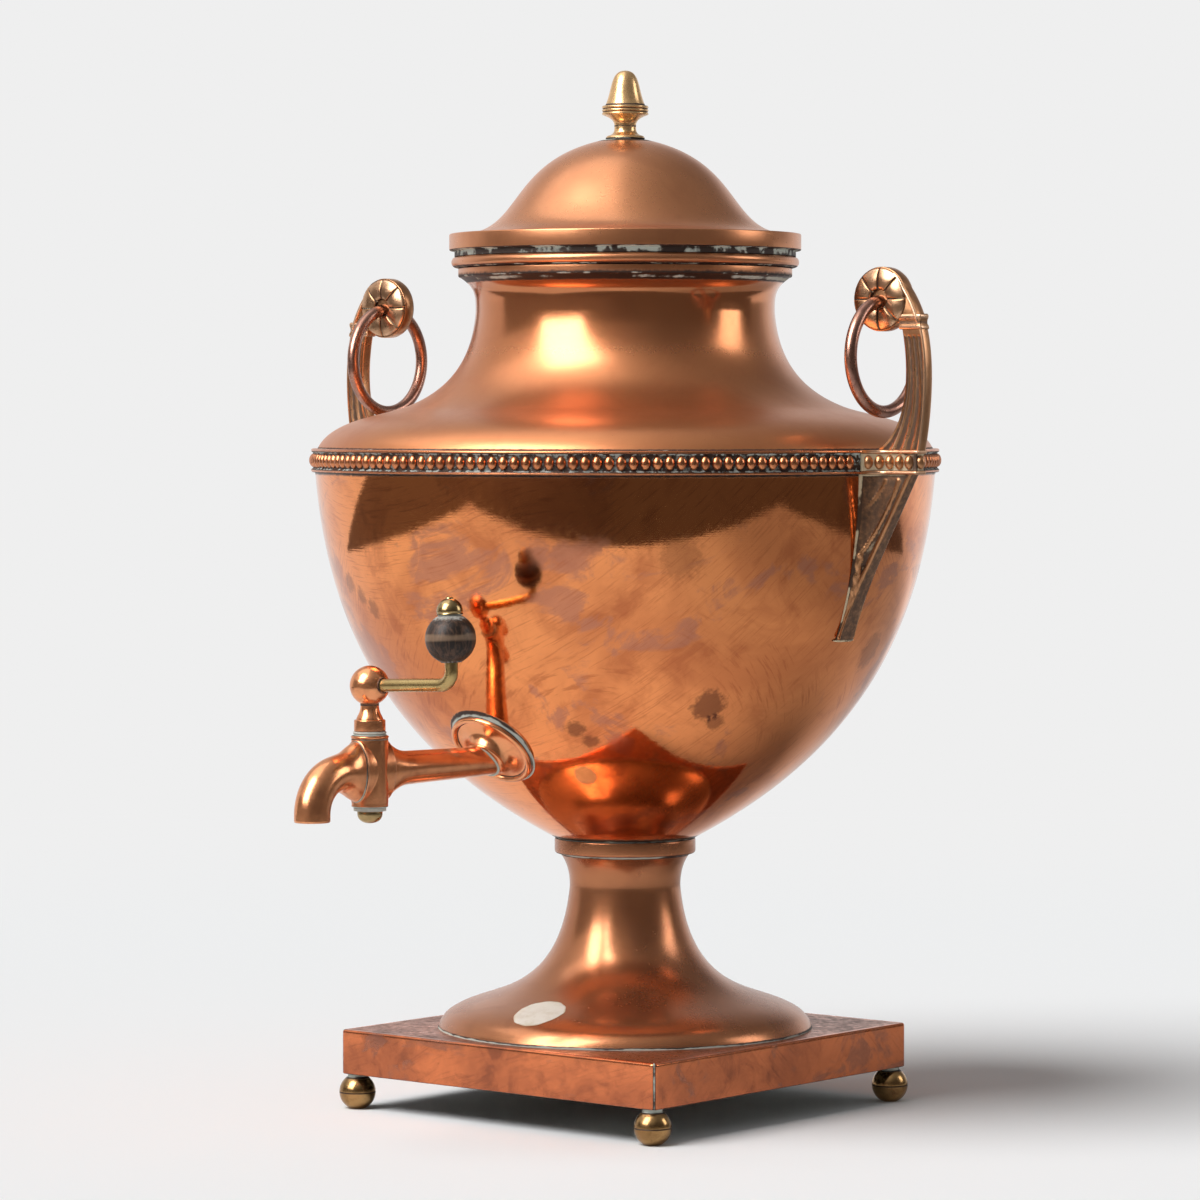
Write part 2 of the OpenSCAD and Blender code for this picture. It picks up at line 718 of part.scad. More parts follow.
// Leg, lofted down the bowl's wall, grown by g on its sides
module leg(g) {
  line = bez(leg_outer, 18);
  rows = [
    for (q = line)
      let(f = (line[0][1] - q[1]) / (line[0][1] - line[len(line) - 1][1]))
      both_flanks(flank(
        q[0], bowl_at(min(z_band, z_shoulder + q[1])) - bowl_r,
        g + mix(bracket_t, leg_tip_w, pow(f, 2)) / 2, g + mix(root_w, leg_tip_w + 1, f) / 2
      ))
  ];
  n = len(rows[0]);
  m = len(rows);
  polyhedron(
    points = [for (i = [0:m - 1], q = rows[i]) [q[0], q[1], line[i][1]]],
    faces = concat(
      [for (i = [0:m - 2], j = [0:n - 1])
        let(a = i * n + j, b = i * n + (j + 1) % n)
        each [[a, b, a + n], [b, b + n, a + n]]],
      [for (j = [0:n / 2 - 2])
        let(a = j, b = n - 1 - j, c = (m - 1) * n + j, d = m * n - 1 - j)
        each [[b, b - 1, a + 1], [b, a + 1, a], [c, c + 1, d - 1], [c, d - 1, d]]]
    )
  );
}

// Raised veins of the leg, seen from the side
module veins() {
  top = -band_h - 2.4;
  wall = bowl_at(z_band - 34) - bowl_r;
  polygon(strip(bez([[8, top], [6.4, top - 3], [2.6, top - 8], [0.4, top - 11.6]], 8), rib_w));
  polygon(strip(bez([[14.4, top], [12.2, top - 8], [4, top - 20], [wall + 1, -band_h - 34]], 10), rib_w));
}

module pad_layer(h, out, g) linear_extrude(h)
  polygon(both_flanks(flank(pad_out + out, band_proud, bracket_t / 2 + g, root_w / 2 + g)));

module pad() {
  f = fillet_h;
  b = bracket_t / 2;
  n = floor((pad_out - 1.6) / bead_pitch);
  translate([0, 0, -band_h]) {
    translate([0, 0, f]) pad_layer(band_h - 2 * f, -0.6, 0);
    pad_layer(f, 0, pad_fillet);
    translate([0, 0, band_h - f]) pad_layer(f, 0.6, pad_fillet);
  }
  both_sides() for (k = [0:n - 1])
    translate([pad_out - 3.9 - k * bead_pitch, b - 0.05, -band_h / 2]) rotate(90) bead();
  translate([pad_out - 0.65, 0, -band_h / 2]) bead();
}

module bracket_right() {
  color(bronze) difference() {
    handle_frame() difference() {
      union() {
        plate(bracket_t) bracket_outline();
        plate(bracket_t + 2 * relief) difference() {
          polygon(strip(beside(head_edge, rib_w * 0.6), rib_w));
          translate([eye_out, eye_h]) circle(r = head_r);
        }
        translate([strap_outer[0][0] - strap_w - 0.9, -bracket_t / 2 - relief, eye_h - 12.4])
          cube([strap_w + 1.7, bracket_t + 2 * relief, step_h]);
        pad();
        leg(0);
        intersection() {
          leg(relief);
          plate(2 * root_w) veins();
        }
      }
      both_sides() translate([0, -bracket_t / 2 - 2, 0]) plate(4 + 2 * relief) difference() {
        flutes();
        translate([0, eye_h - 13]) square([past, past]);
        translate([0, 2 - past]) square([past, past]);
      }
      plate(bracket_t * 4) translate([eye_out, eye_h]) circle(d = eye_d + 3);
    }
    vessel_body();
  }
}

module bracket_left() mirror([1, 0, 0]) bracket_right();

module rosette_right() {
  r = rosette_d / 2;
  h = bracket_t / 2;
  p = rosette_proud;
  color(bronze) translate([eye_x, 0, z_eye]) rotate([90, 0, 0]) difference() {
    union() {
      at_z(-h - eps) cylinder(d = eye_d + 3, h = 2 * h + 2 * eps);
      for (m = [0, 1]) mirror([0, 0, m]) at_z(h) turn([
        [0, 0], [r - 0.4, 0], [r, 0.4], [r, p * 0.35], [r - 0.6, p * 0.62], [r * 0.8, p * 0.9],
        [r * 0.6, p], [r * 0.45, p * 0.92], [0, p * 0.7]
      ]);
    }
    at_z(-past) cylinder(d = eye_d, h = 2 * past);
    for (m = [0, 1], k = [0:7]) mirror([0, 0, m]) rotate(45 * k)
      translate([0, 0, h + p + 0.35]) rotate([0, 90, 0]) cylinder(d = 1.9, h = r + 2);
  }
}

module rosette_left() mirror([1, 0, 0]) rosette_right();

module ring_right() {
  color(dark_copper) translate([eye_x, 0, ring_axis_z - ring_d / 2]) rotate([0, 90, 0])
    rotate_extrude() translate([ring_d / 2, 0]) circle(d = ring_wire_d);
}

module ring_left() mirror([1, 0, 0]) ring_right();

// Tap
plug_y = -(bowl_at(z_tap) + tap_out);
barrel_bottom = z_tap - barrel_h / 2;
barrel_top = z_tap + barrel_h / 2;
module at_plug(z = 0) translate([0, plug_y, z]) children();
// Along +Y from the plug's axis, at the height of the bore
module along_tap() translate([0, plug_y, z_tap]) rotate([-90, 0, 0]) children();

module tap_plate() {
  r = plate_d / 2;
  n = plate_neck_d / 2;
  b = (shank_bore + 3) / 2;
  color(copper) difference() {
    on_plate() turn(concat(
      [[b, -7], [r, -7], [r, 0.9], [r - 0.4, 1.7], [r - 1.2, 2], [r - 2.2, 1.6]],
      bez([[r - 3, 1], [n + 2.2, 0.8], [n + 0.3, plate_h * 0.45], [n, plate_h]], 12),
      [[b, plate_h]]
    ));
    turn(concat([[0, z_bowl]], bowl_curve, [[0, z_band]]));
  }
}

// Rim round the flare on the barrel
module flare_lip() scale([flare_flat, 1, 1]) cylinder(r = flare_h / 2 + flare_rim, h = barrel_d / 2 + 1);

module tap_shank() {
  reach = -plug_y + plate_y;
  flare = flare_h / 2;
  root = shank_root_d / 2;
  color(copper) difference() {
    union() {
      along_tap() turn([[0, 0], [root, 0], [root, flare_len - 1], [shank_d / 2, reach + 4],
        [shank_d / 2, reach + past], [0, reach + past]]);
      along_tap() scale([flare_flat, 1, 1]) turn(concat(
        [[0, 0], [flare, 0]],
        bez([[flare, barrel_d / 2 - 1.2], [flare - 3.4, barrel_d / 2 + 2], [root + 0.4, flare_len - 8],
          [root - 0.3, flare_len]], 10),
        [[0, flare_len]]
      ));
      along_tap() flare_lip();
    }
    at_plug(z_tap - past) cylinder(d = barrel_d, h = 2 * past);
    along_tap() cylinder(d = shank_bore, h = reach + past);
    on_plate() translate([-past, -past, plate_h - past]) cube([2 * past, 2 * past, past]);
  }
}

module tap_barrel() {
  color(copper) difference() {
    at_plug(barrel_bottom) turn([
      [0, 0], [barrel_d / 2 - 0.6, 0], [barrel_d / 2, 0.6], [barrel_d / 2, barrel_h - 0.6],
      [barrel_d / 2 - 0.6, barrel_h], [0, barrel_h]
    ]);
    at_plug(barrel_bottom - 1) cylinder(d = plug_d + 2 * plug_gap, h = barrel_h + 2);
    along_tap() at_z(-past) cylinder(d = shank_bore, h = 2 * past);
  }
}

module tap_spout() {
  z_bend = z_tap - spout_bend_r;
  y_bend = plug_y - spout_out + spout_bend_r;
  z_out = z_tap - spout_drop;
  color(copper) difference() {
    union() {
      spout_run(spout_d, z_bend, y_bend, z_out);
      intersection() {
        translate([0, plug_y - 1, z_tap]) scale([flare_flat, 1.02, 1]) sphere(d = flare_h);
        at_plug(z_tap) translate([-flare_h, -2 * flare_h - 1, -flare_h]) cube(2 * flare_h);
      }
      along_tap() mirror([0, 0, 1]) scale([flare_flat, 1, 1]) turn(concat(
        [[0, 0], [flare_h / 2, 0]],
        bez([[flare_h / 2, barrel_d / 2 - 1], [flare_h / 2 - 1, barrel_d / 2 + 4],
          [spout_d / 2 + 0.6, 12], [spout_d / 2 - 0.8, 17]], 8),
        [[0, 17]]
      ));
      along_tap() mirror([0, 0, 1]) flare_lip();
    }
    at_plug(z_tap - past) cylinder(d = barrel_d, h = 2 * past);
    spout_run(spout_bore, z_bend, y_bend, z_out - 1);
  }
}

module spout_run(d, z_bend, y_bend, z_out) {
  translate([0, y_bend, z_tap]) rotate([-90, 0, 0]) cylinder(d = d, h = plug_y - y_bend);
  translate([0, y_bend, z_bend]) rotate([0, 0, 90]) rotate([90, 0, 0])
    rotate_extrude(angle = 90, start = 90) translate([spout_bend_r, 0]) circle(d = d);
  translate([0, plug_y - spout_out, z_out]) cylinder(d = d, h = z_bend - z_out);
}

module tap_plug() {
  c = plug_collar_d / 2;
  n = plug_neck_d / 2;
  z0 = barrel_top + rest_gap + 1;
  ball_z = barrel_top + plug_ball_h;
  color(copper) difference() {
    at_plug() {
      turn(concat(
        [[0, barrel_bottom + 0.2], [plug_d / 2, barrel_bottom + 0.2], [plug_d / 2, z0], [c, z0],
         [c, z0 + plug_collar_h - 0.6], [c - 0.5, z0 + plug_collar_h]],
        bez([[c - 0.9, z0 + plug_collar_h], [n + 1, z0 + plug_collar_h + 2],
          [n, ball_z - plug_ball_d / 2 - 2.5], [n, ball_z - plug_ball_d / 2 + 0.6]], 10),
        [[0, ball_z - plug_ball_d / 2 + 0.6]]
      ));
      at_z(ball_z) sphere(d = plug_ball_d);
    }
    at_plug(z_tap) rotate([0, 90, 0]) cylinder(d = plug_bore, h = 2 * plug_d, center = true);
    at_plug(barrel_bottom - 1) cylinder(d = 4, h = 9);
    at_plug(ball_z) rotate([0, 90 - lever_rise, lever_rest]) cylinder(d = rod_d, h = plug_ball_d);
  }
}

module gland_washer() {
  color(fibre) at_plug(barrel_top + rest_gap) turn([
    [plug_d / 2 + 0.02, 0], [plug_collar_d / 2 + 0.2, 0], [plug_collar_d / 2 + 0.2, 1], [plug_d / 2 + 0.02, 1]
  ]);
}

module lever_frame() at_plug(barrel_top + plug_ball_h) rotate([0, -lever_rise, lever_rest]) children();

module lever_rod() {
  b = lever_bend_r;
  top = grip_h + grip_d / 2 - 2.6;
  color(brass) lever_frame() {
    rotate([0, 90, 0]) cylinder(d = rod_d, h = lever_len - b);
    translate([lever_len - b, 0, b]) rotate([90, 0, 0])
      rotate_extrude(angle = 90, start = -90) translate([b, 0]) circle(d = rod_d);
    translate([lever_len, 0, b]) cylinder(d = rod_d, h = top - b);
  }
}

module lever_grip() {
  r = grip_d / 2;
  color(wood) lever_frame() translate([lever_len, 0, grip_h]) difference() {
    sphere(r = r);
    at_z(r - 1) cylinder(r = r, h = r);
    at_z(-2 * r + 1.1) cylinder(r = r, h = r);
    at_z(-r - 1) cylinder(d = rod_d, h = 2 * r - 1.6);
  }
}

module lever_cap() {
  r = cap_d / 2;
  color(brass) lever_frame() translate([lever_len, 0, grip_h + grip_d / 2 - 1]) turn(concat(
    [[0, 0], [r - 0.5, 0], [r, 0.4], [r, 1.2]],
    bez([[r, 1.6], [r, cap_h * 0.6], [r * 0.62, cap_h - 0.7], [1.5, cap_h - 0.5]], 8),
    [[1.4, cap_h], [0.8, cap_h + 0.5], [0, cap_h + 0.6]]
  ));
}

module plug_washer() {
  color(fibre) at_plug(barrel_bottom - rest_gap - 1.2) turn([
    [2 + stud_gap, 0], [barrel_d / 2 - 0.9, 0], [barrel_d / 2 - 0.9, 1.2], [2 + stud_gap, 1.2]
  ]);
}

module plug_screw() {
  r = screw_head_d / 2;
  z = barrel_bottom - rest_gap - 1.2;
  color(brass) difference() {
    at_plug() {
      at_z(z - 1) cylinder(d = 4, h = 9);
      turn(concat([[0, z], [r, z]], bez([[r, z - 1.2], [r, z - 3.6], [r * 0.6, z - 5.2], [0, z - 5.2]], 10)));
    }
    at_plug(z - 5.6) rotate(25) translate([-r - 1, -0.6, 0]) cube([2 * r + 2, 1.2, 2.2]);
  }
}

plinth();
foot_front_right();
foot_front_left();
foot_back_right();
foot_back_left();
foot_nuts();
pedestal();
collar();
tie_bolt();
tie_nut();
bowl();
band();
bead_row();
shoulder();
neck();
mouth_ring();
lid_edge();
lid_dome();
finial();
finial_nut();
heater_tube();
heater_cover();
heater_knob();
bracket_right();
bracket_left();
rosette_right();
rosette_left();
ring_right();
ring_left();
tap_plate();
tap_shank();
tap_barrel();
tap_spout();
tap_plug();
gland_washer();
lever_rod();
lever_grip();
lever_cap();
plug_washer();
plug_screw();
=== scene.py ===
import math

import bmesh
import bpy
import numpy as np
from mathutils import Matrix, Vector


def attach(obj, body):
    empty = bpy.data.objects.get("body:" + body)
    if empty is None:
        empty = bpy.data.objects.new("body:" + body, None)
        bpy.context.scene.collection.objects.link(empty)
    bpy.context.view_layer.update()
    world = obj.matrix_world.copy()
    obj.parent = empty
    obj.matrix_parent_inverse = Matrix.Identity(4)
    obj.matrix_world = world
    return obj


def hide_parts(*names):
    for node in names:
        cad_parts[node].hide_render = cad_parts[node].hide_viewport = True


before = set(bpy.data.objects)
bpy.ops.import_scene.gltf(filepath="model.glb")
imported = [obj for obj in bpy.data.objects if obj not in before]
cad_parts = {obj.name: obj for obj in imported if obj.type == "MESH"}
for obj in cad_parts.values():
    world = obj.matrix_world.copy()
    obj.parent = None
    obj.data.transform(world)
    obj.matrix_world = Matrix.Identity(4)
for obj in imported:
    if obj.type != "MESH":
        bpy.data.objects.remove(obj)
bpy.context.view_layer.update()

mm = 0.001


# A socket that takes part in Python sums
class Wire:
    def __init__(self, graph, socket):
        self.graph = graph
        self.socket = socket

    def maths(self, operation, *values, clamp=False):
        return self.graph.node("ShaderNodeMath", {"operation": operation, "use_clamp": clamp}, list(values))

    def __add__(self, other):
        return self.maths("ADD", self, other)

    def __radd__(self, other):
        return self.maths("ADD", other, self)

    def __sub__(self, other):
        return self.maths("SUBTRACT", self, other)

    def __rsub__(self, other):
        return self.maths("SUBTRACT", other, self)

    def __mul__(self, other):
        return self.maths("MULTIPLY", self, other)

    def __rmul__(self, other):
        return self.maths("MULTIPLY", other, self)

    def __rtruediv__(self, other):
        return self.maths("DIVIDE", other, self)

    def clamped(self):
        return self.maths("ADD", self, 0.0, clamp=True)

    def size(self):
        return self.maths("ABSOLUTE", self)

    def rise(self, low, high):
        return self.graph.node(
            "ShaderNodeMapRange", {"interpolation_type": "SMOOTHSTEP"},
            {"Value": self, "From Min": low, "From Max": high, "To Min": 0.0, "To Max": 1.0})


# A node tree that is filled by one method
class Graph:
    def __init__(self, tree):
        self.tree = tree
        self.column = 0

    def node(self, kind, settings=None, inputs=None, output=0):
        made = self.tree.nodes.new(kind)
        self.column += 1
        made.location = (180 * (self.column % 12), -200 * (self.column // 12))
        for key, value in (settings or {}).items():
            setattr(made, key, value)
        pairs = inputs.items() if isinstance(inputs, dict) else enumerate(inputs or [])
        for key, value in pairs:
            socket = made.inputs[key]
            if isinstance(value, Wire):
                self.tree.links.new(value.socket, socket)
            elif socket.type == "RGBA":
                socket.default_value = (*value[:3], 1.0)
            else:
                socket.default_value = value
        return Wire(self, made.outputs[output]) if made.outputs else None

    def blend(self, amount, first, second):
        return self.node("ShaderNodeMix", {"data_type": "RGBA"}, {0: amount, 6: first, 7: second}, 2)

    def cloud(self, place, scale, detail=4.0, rough=0.55, twist=0.0):
        return self.node("ShaderNodeTexNoise", {"noise_dimensions": "3D"}, {
            "Vector": place, "Scale": scale, "Detail": detail, "Roughness": rough, "Distortion": twist}, "Fac")

    def place(self, scale=(1, 1, 1), turn=(0, 0, 0), shift=(0, 0, 0)):
        spot = self.node("ShaderNodeTexCoord", {}, {}, "Object")
        if scale == (1, 1, 1) and turn == (0, 0, 0) and shift == (0, 0, 0):
            return spot
        return self.node("ShaderNodeMapping", {"vector_type": "POINT"}, {
            "Vector": spot, "Location": shift, "Rotation": turn, "Scale": scale})

    # Fine strokes along a turned direction: the space is turned first and stretched after
    def streaks(self, turn, long, fine):
        turned = self.node("ShaderNodeVectorRotate", {"rotation_type": "EULER_XYZ"}, {
            "Vector": self.place(), "Rotation": turn})
        drawn = self.node("ShaderNodeVectorMath", {"operation": "MULTIPLY"}, [turned, (long, long, fine)])
        return self.cloud(drawn, 1.0, 3.0, 0.6)

    def attribute(self, name):
        return self.node("ShaderNodeAttribute", {"attribute_type": "GEOMETRY", "attribute_name": name}, {}, "Fac")

    def bump(self, height, strength, distance, under=None):
        inputs = {"Height": height, "Strength": strength, "Distance": distance}
        if under is not None:
            inputs["Normal"] = under
        return self.node("ShaderNodeBump", {}, inputs)


def makeMaterial(name, build):
    material = bpy.data.materials.new(name)
    material.use_nodes = True
    material.node_tree.nodes.clear()
    graph = Graph(material.node_tree)
    shader = graph.node("ShaderNodeBsdfPrincipled", {}, build(graph))
    graph.node("ShaderNodeOutputMaterial", {}, {"Surface": shader})
    return material


metalDefaults = {
    "bright": (0.93, 0.50, 0.30), "dark": (0.50, 0.20, 0.10), "bloom": (0.66, 0.34, 0.26),
    "patina": 0.6, "bloomAmount": 0.4, "blotch": (0.56, 0.24, 0.165), "blotchAmount": 0.0, "hatch": 0.0,
    "metal": 1.0, "rough": 0.2, "roughMore": 0.12, "cloudScale": 13.0, "seed": 0.0, "spots": [],
    "dents": 0.3, "dentScale": 14.0, "lines": 0.0, "scratches": 0.1, "pits": 0.3,  # dents in mm
    # The dark deposit colour is real grime, and painted shade inside the plinth's hollow
    "grimeDark": (0.045, 0.025, 0.018), "grimePale": (0.50, 0.53, 0.47), "worn": (0.90, 0.58, 0.38),
    "crust": 45.0, "chalk": 0.0,  # scale of the broken pale deposit, and how much more of it
    "dull": (),  # lower height, upper height in mm, and how much rougher it gets downwards
}


# Old copper, bronze or brass: clouds of patina, fine scratches, pits, and deposits where the mesh's grime-and-shade
# attribute says so; inside the plinth's hollow the dark deposit is painted shade
def agedMetal(name, **changes):
    look = {**metalDefaults, **changes}

    def build(g):
        shift = (look["seed"], look["seed"] * 0.7, -look["seed"])
        spot = g.place(shift=shift)
        big = g.cloud(spot, look["cloudScale"], 5.0, 0.58, 0.6)
        middle = g.cloud(spot, look["cloudScale"] * 3.4, 6.0, 0.62, 0.9)
        small = g.cloud(spot, 420.0, 4.0, 0.6)
        tiny = g.cloud(spot, 1500.0, 2.0, 0.5)
        brown = (big.rise(0.42, 0.64) * 0.65 + middle.rise(0.46, 0.68) * 0.5).clamped() * look["patina"]
        colour = g.blend(brown, look["bright"], look["dark"])
        colour = g.blend(middle.rise(0.36, 0.20) * big.rise(0.62, 0.38) * look["bloomAmount"], colour, look["bloom"])
        rough = look["rough"] + look["roughMore"] * (0.6 * brown + 0.8 * (small - 0.5))
        if look["blotchAmount"]:
            where = g.cloud(g.place((1, 1, 1.6), (0.3, 0.2, 0.0), (4.1, 2.2, 1.7)),
                            look["cloudScale"] * 1.15, 5.0, 0.62, 1.3)
            patch = where.rise(0.53, 0.60) * middle.rise(0.40, 0.52)
            colour = g.blend(patch * look["blotchAmount"], colour, look["blotch"])
            rough = rough + patch * 0.06
        if look["hatch"]:
            stroke = g.streaks((0.7, 0.4, 0.3), 70.0, 1300.0).rise(0.52, 0.68)
            other = g.streaks((-0.8, 0.2, 1.1), 70.0, 1300.0).rise(0.52, 0.68)
            mask = g.cloud(spot, look["cloudScale"] * 2.0, 3.0, 0.5).rise(0.48, 0.60)
            colour = g.blend((stroke * mask + other * (1.0 - mask) * 0.7) * look["hatch"], colour, look["dark"])
        if look["dull"]:
            low, high, more = look["dull"]
            rough = rough + g.node("ShaderNodeSeparateXYZ", {}, [g.place()], 2).rise(high * mm, low * mm) * more
        stain = None
        for (x, y, z), radius, depth in look["spots"]:
            away = g.node("ShaderNodeVectorMath", {"operation": "DISTANCE"}, [g.place(), (x, y, z)], "Value")
            ragged = away + (middle - 0.5) * radius * 1.6 + (small - 0.5) * radius * 1.1
            mark = ragged.rise(radius, radius * 0.45) * depth
            stain = mark if stain is None else stain + mark
        if stain is not None:
            stain = stain.clamped()
            colour = g.blend(stain, colour, (0.16, 0.055, 0.03))
            rough = rough + stain * 0.12
        pits = tiny.rise(0.66, 0.78) * small.rise(0.50, 0.66) * look["pits"]
        colour = g.blend(pits, colour, look["grimeDark"])
        layer = g.attribute("grime")
        worn = (0.0 - layer).clamped() * (0.6 + small * 0.8)
        colour = g.blend(worn.clamped(), colour, look["worn"])
        # Dark deposit: real grime in hollows and joints, and painted shade where the plinth's inside is marked
        dark = (layer * 1.5 * (0.55 + small)).rise(0.35, 0.95)
        broken = g.cloud(spot, look["crust"], 3.0, 0.6).rise(0.40, 0.60)
        loose = g.cloud(spot, 150.0, 4.0, 0.65)
        pale = (layer * (0.12 + look["chalk"] + 0.5 * broken + loose * 1.1)).rise(0.78, 1.05)
        colour = g.blend(dark, colour, look["grimeDark"])
        colour = g.blend(pale, colour, look["grimePale"])
        metal = look["metal"] - 0.5 * dark - 0.45 * pale
        rough = rough + 0.3 * dark + 0.4 * pale
        height = g.cloud(spot, look["dentScale"], 3.0, 0.5)
        normal = g.bump(height, 1.0, look["dents"] * mm)
        fine = small * 0.5 + tiny * 0.2 - pits * 2.0
        if look["scratches"]:
            across = g.cloud(g.place((26, 26, 1400), (0.35, 0.12, 0.0), shift), 1.0, 2.0, 0.5)
            along = g.cloud(g.place((900, 40, 30), (0.2, 0.5, 0.7), shift), 1.0, 2.0, 0.5)
            fine = fine + (across + along) * look["scratches"]
        if look["lines"]:
            spinning = g.place((22.0, 22.0, 2600.0), (0, 0, 0), shift)
            fine = fine + g.cloud(spinning, 1.0, 2.0, 0.6) * look["lines"]
        fine = fine + pale * 2.0
        normal = g.bump(fine, 0.55, 0.035 * mm, normal)
        return {"Base Color": colour, "Metallic": metal.clamped(), "Roughness": rough.clamped(), "Normal": normal}

    return makeMaterial(name, build)


# Curves in radius and height, in mm
def bezier(a, b, c, d, count):
    t = np.linspace(0.0, 1.0, count + 1)[:, None]
    a, b, c, d = (np.array(p, float) for p in (a, b, c, d))
    return (1 - t) ** 3 * a + 3 * (1 - t) ** 2 * t * b + 3 * (1 - t) * t * t * c + t ** 3 * d


def turnsOf(count):
    return 2 * math.pi * np.arange(count) / count


def polar(length, angle):
    return np.array([length * math.cos(math.radians(angle)), length * math.sin(math.radians(angle))])


def chain(*parts):
    rows = []
    for part in parts:
        for point in np.atleast_2d(np.array(part, float)):
            if not rows or np.hypot(*(point - rows[-1])) > 1e-6:
                rows.append(point)
    return np.array(rows)


def beside(line, offset):
    ahead = np.vstack([line[1:], line[-1:]])
    back = np.vstack([line[:1], line[:-1]])
    way = ahead - back
    way /= np.linalg.norm(way, axis=1)[:, None]
    return line + offset * np.stack([-way[:, 1], way[:, 0]], 1)


def arc(centre, radius, start, end, count):
    angles = np.radians(np.linspace(start, end, count + 1))
    return np.stack([centre[0] + radius * np.cos(angles), centre[1] + radius * np.sin(angles)], 1)


# Deposit of each outline point: a list of (height, reach, amount), or (radius, height, reach, amount)
def depositOf(outline, marks):
    grime = np.zeros(len(outline))
    for mark in marks:
        if len(mark) == 3:
            away = np.abs(outline[:, 1] - mark[0])
        else:
            away = np.hypot(outline[:, 0] - mark[0], outline[:, 1] - mark[1])
        grime = np.maximum(grime, mark[-1] * np.clip(1.25 - away / mark[-2], 0, 1))
    return grime


def meshObject(name, points, faces, material, grime=None, sharp=32.0, fix=True):
    mesh = bpy.data.meshes.new(name)
    mesh.from_pydata([tuple(p) for p in points], [], faces)
    if grime is not None:
        layer = mesh.attributes.new("grime", "FLOAT", "POINT")
        layer.data.foreach_set("value", np.asarray(grime, np.float32))
    if fix:
        work = bmesh.new()
        work.from_mesh(mesh)
        bmesh.ops.remove_doubles(work, verts=work.verts, dist=1e-7)
        bmesh.ops.recalc_face_normals(work, faces=work.faces)
        work.to_mesh(mesh)
        work.free()
    mesh.shade_smooth()
    mesh.set_sharp_from_angle(angle=math.radians(sharp))
    made = bpy.data.objects.new(name, mesh)
    bpy.context.scene.collection.objects.link(made)
    if material is not None:
        mesh.materials.append(material)
    return made


# Closed outline turned round the Z axis, in mm; grid columns share poles
def spunMesh(outline, steps):
    points, faces, columns = [], [], []
    for r, z in outline:
        if r < 1e-5:
            columns.append([len(points)] * steps)
            points.append((0.0, 0.0, z * mm))
        else:
            columns.append(list(range(len(points), len(points) + steps)))
            for i in range(steps):
                a = 2 * math.pi * i / steps
                points.append((r * mm * math.cos(a), r * mm * math.sin(a), z * mm))
    count = len(outline)
    for k in range(count):
        low, high = columns[k], columns[(k + 1) % count]
        if low[0] == low[1] and high[0] == high[1]:
            continue
        for i in range(steps):
            j = (i + 1) % steps
            face = []
            for v in (low[i], low[j], high[j], high[i]):
                if v not in face:
                    face.append(v)
            if len(face) > 2:
                faces.append(face)
    return points, faces, columns


def spun(name, outline, material, marks=(), steps=288, place=None, sharp=32.0):
    outline = np.array(outline, float)
    points, faces, columns = spunMesh(outline, steps)
    deposit = depositOf(outline, marks)
    grime = np.zeros(len(points))
    for column, amount in zip(columns, deposit):
        for v in column:
            grime[v] = amount
    if place is not None:
        points = [tuple(place @ Vector(p)) for p in points]
    return meshObject(name, points, faces, material, grime, sharp)


def rideOn(piece, body, slot, *nodes):
    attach(piece, body)
    if nodes:
        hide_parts(*nodes)
    return piece


def joined(name, parts):
    work = bmesh.new()
    for part in parts:
        work.from_mesh(part.data)
    mesh = bpy.data.meshes.new(name)
    work.to_mesh(mesh)
    work.free()
    for material in parts[0].data.materials:
        mesh.materials.append(material)
    for part in parts:
        old = part.data
        bpy.data.objects.remove(part)
        bpy.data.meshes.remove(old)
    made = bpy.data.objects.new(name, mesh)
    bpy.context.scene.collection.objects.link(made)
    return made


# Plain copy of what a Geometry Nodes tree makes on a host object
def grown(name, tree, values, host=None):
    mesh = host if host is not None else bpy.data.meshes.new(name + "Host")
    carrier = bpy.data.objects.new(name + "Host", mesh)
    bpy.context.scene.collection.objects.link(carrier)
    modifier = carrier.modifiers.new("grow", "NODES")
    modifier.node_group = tree
    for item in tree.interface.items_tree:
        if item.item_type == "SOCKET" and item.in_out == "INPUT" and item.name in values:
            modifier[item.identifier] = values[item.name]
    whole = bpy.context.evaluated_depsgraph_get()
    plain = bpy.data.meshes.new_from_object(carrier.evaluated_get(whole))
    plain.name = name
    carrier.modifiers.clear()
    bpy.data.objects.remove(carrier)
    made = bpy.data.objects.new(name, plain)
    bpy.context.scene.collection.objects.link(made)
    return made


def newTree(name, sockets):
    tree = bpy.data.node_groups.new(name, "GeometryNodeTree")
    tree.interface.new_socket("Geometry", in_out="INPUT", socket_type="NodeSocketGeometry")
    for label, kind in sockets:
        tree.interface.new_socket(label, in_out="INPUT", socket_type=kind)
    tree.interface.new_socket("Geometry", in_out="OUTPUT", socket_type="NodeSocketGeometry")
    graph = Graph(tree)
    entry = graph.node("NodeGroupInput").socket.node
    sources = {s.name: Wire(graph, s) for s in entry.outputs if s.name}
    return tree, graph, sources


def endTree(graph, geometry, material):
    real = graph.node("GeometryNodeRealizeInstances", {}, {"Geometry": geometry})
    smooth = graph.node("GeometryNodeSetShadeSmooth", {}, {"Geometry": real, "Shade Smooth": True})
    dressed = graph.node("GeometryNodeSetMaterial", {}, {"Geometry": smooth, "Material": material})
    graph.node("NodeGroupOutput", {}, {"Geometry": dressed})


# Camera: distances in metres, angles in degrees, lens and sensor in mm
view = {"distance": 2.0874, "azimuth": 39.4, "height": 0.30236, "yaw": 0.30, "pitch": 2.248,
        "lens": 144.08, "sensor": 36.0, "nearest": 0.05, "farthest": 60.0}
azimuth = math.radians(view["azimuth"])
toCamera = Vector((math.sin(azimuth), -math.cos(azimuth), 0.0))
toRight = Vector((math.cos(azimuth), math.sin(azimuth), 0.0))
zUp = Vector((0, 0, 1))


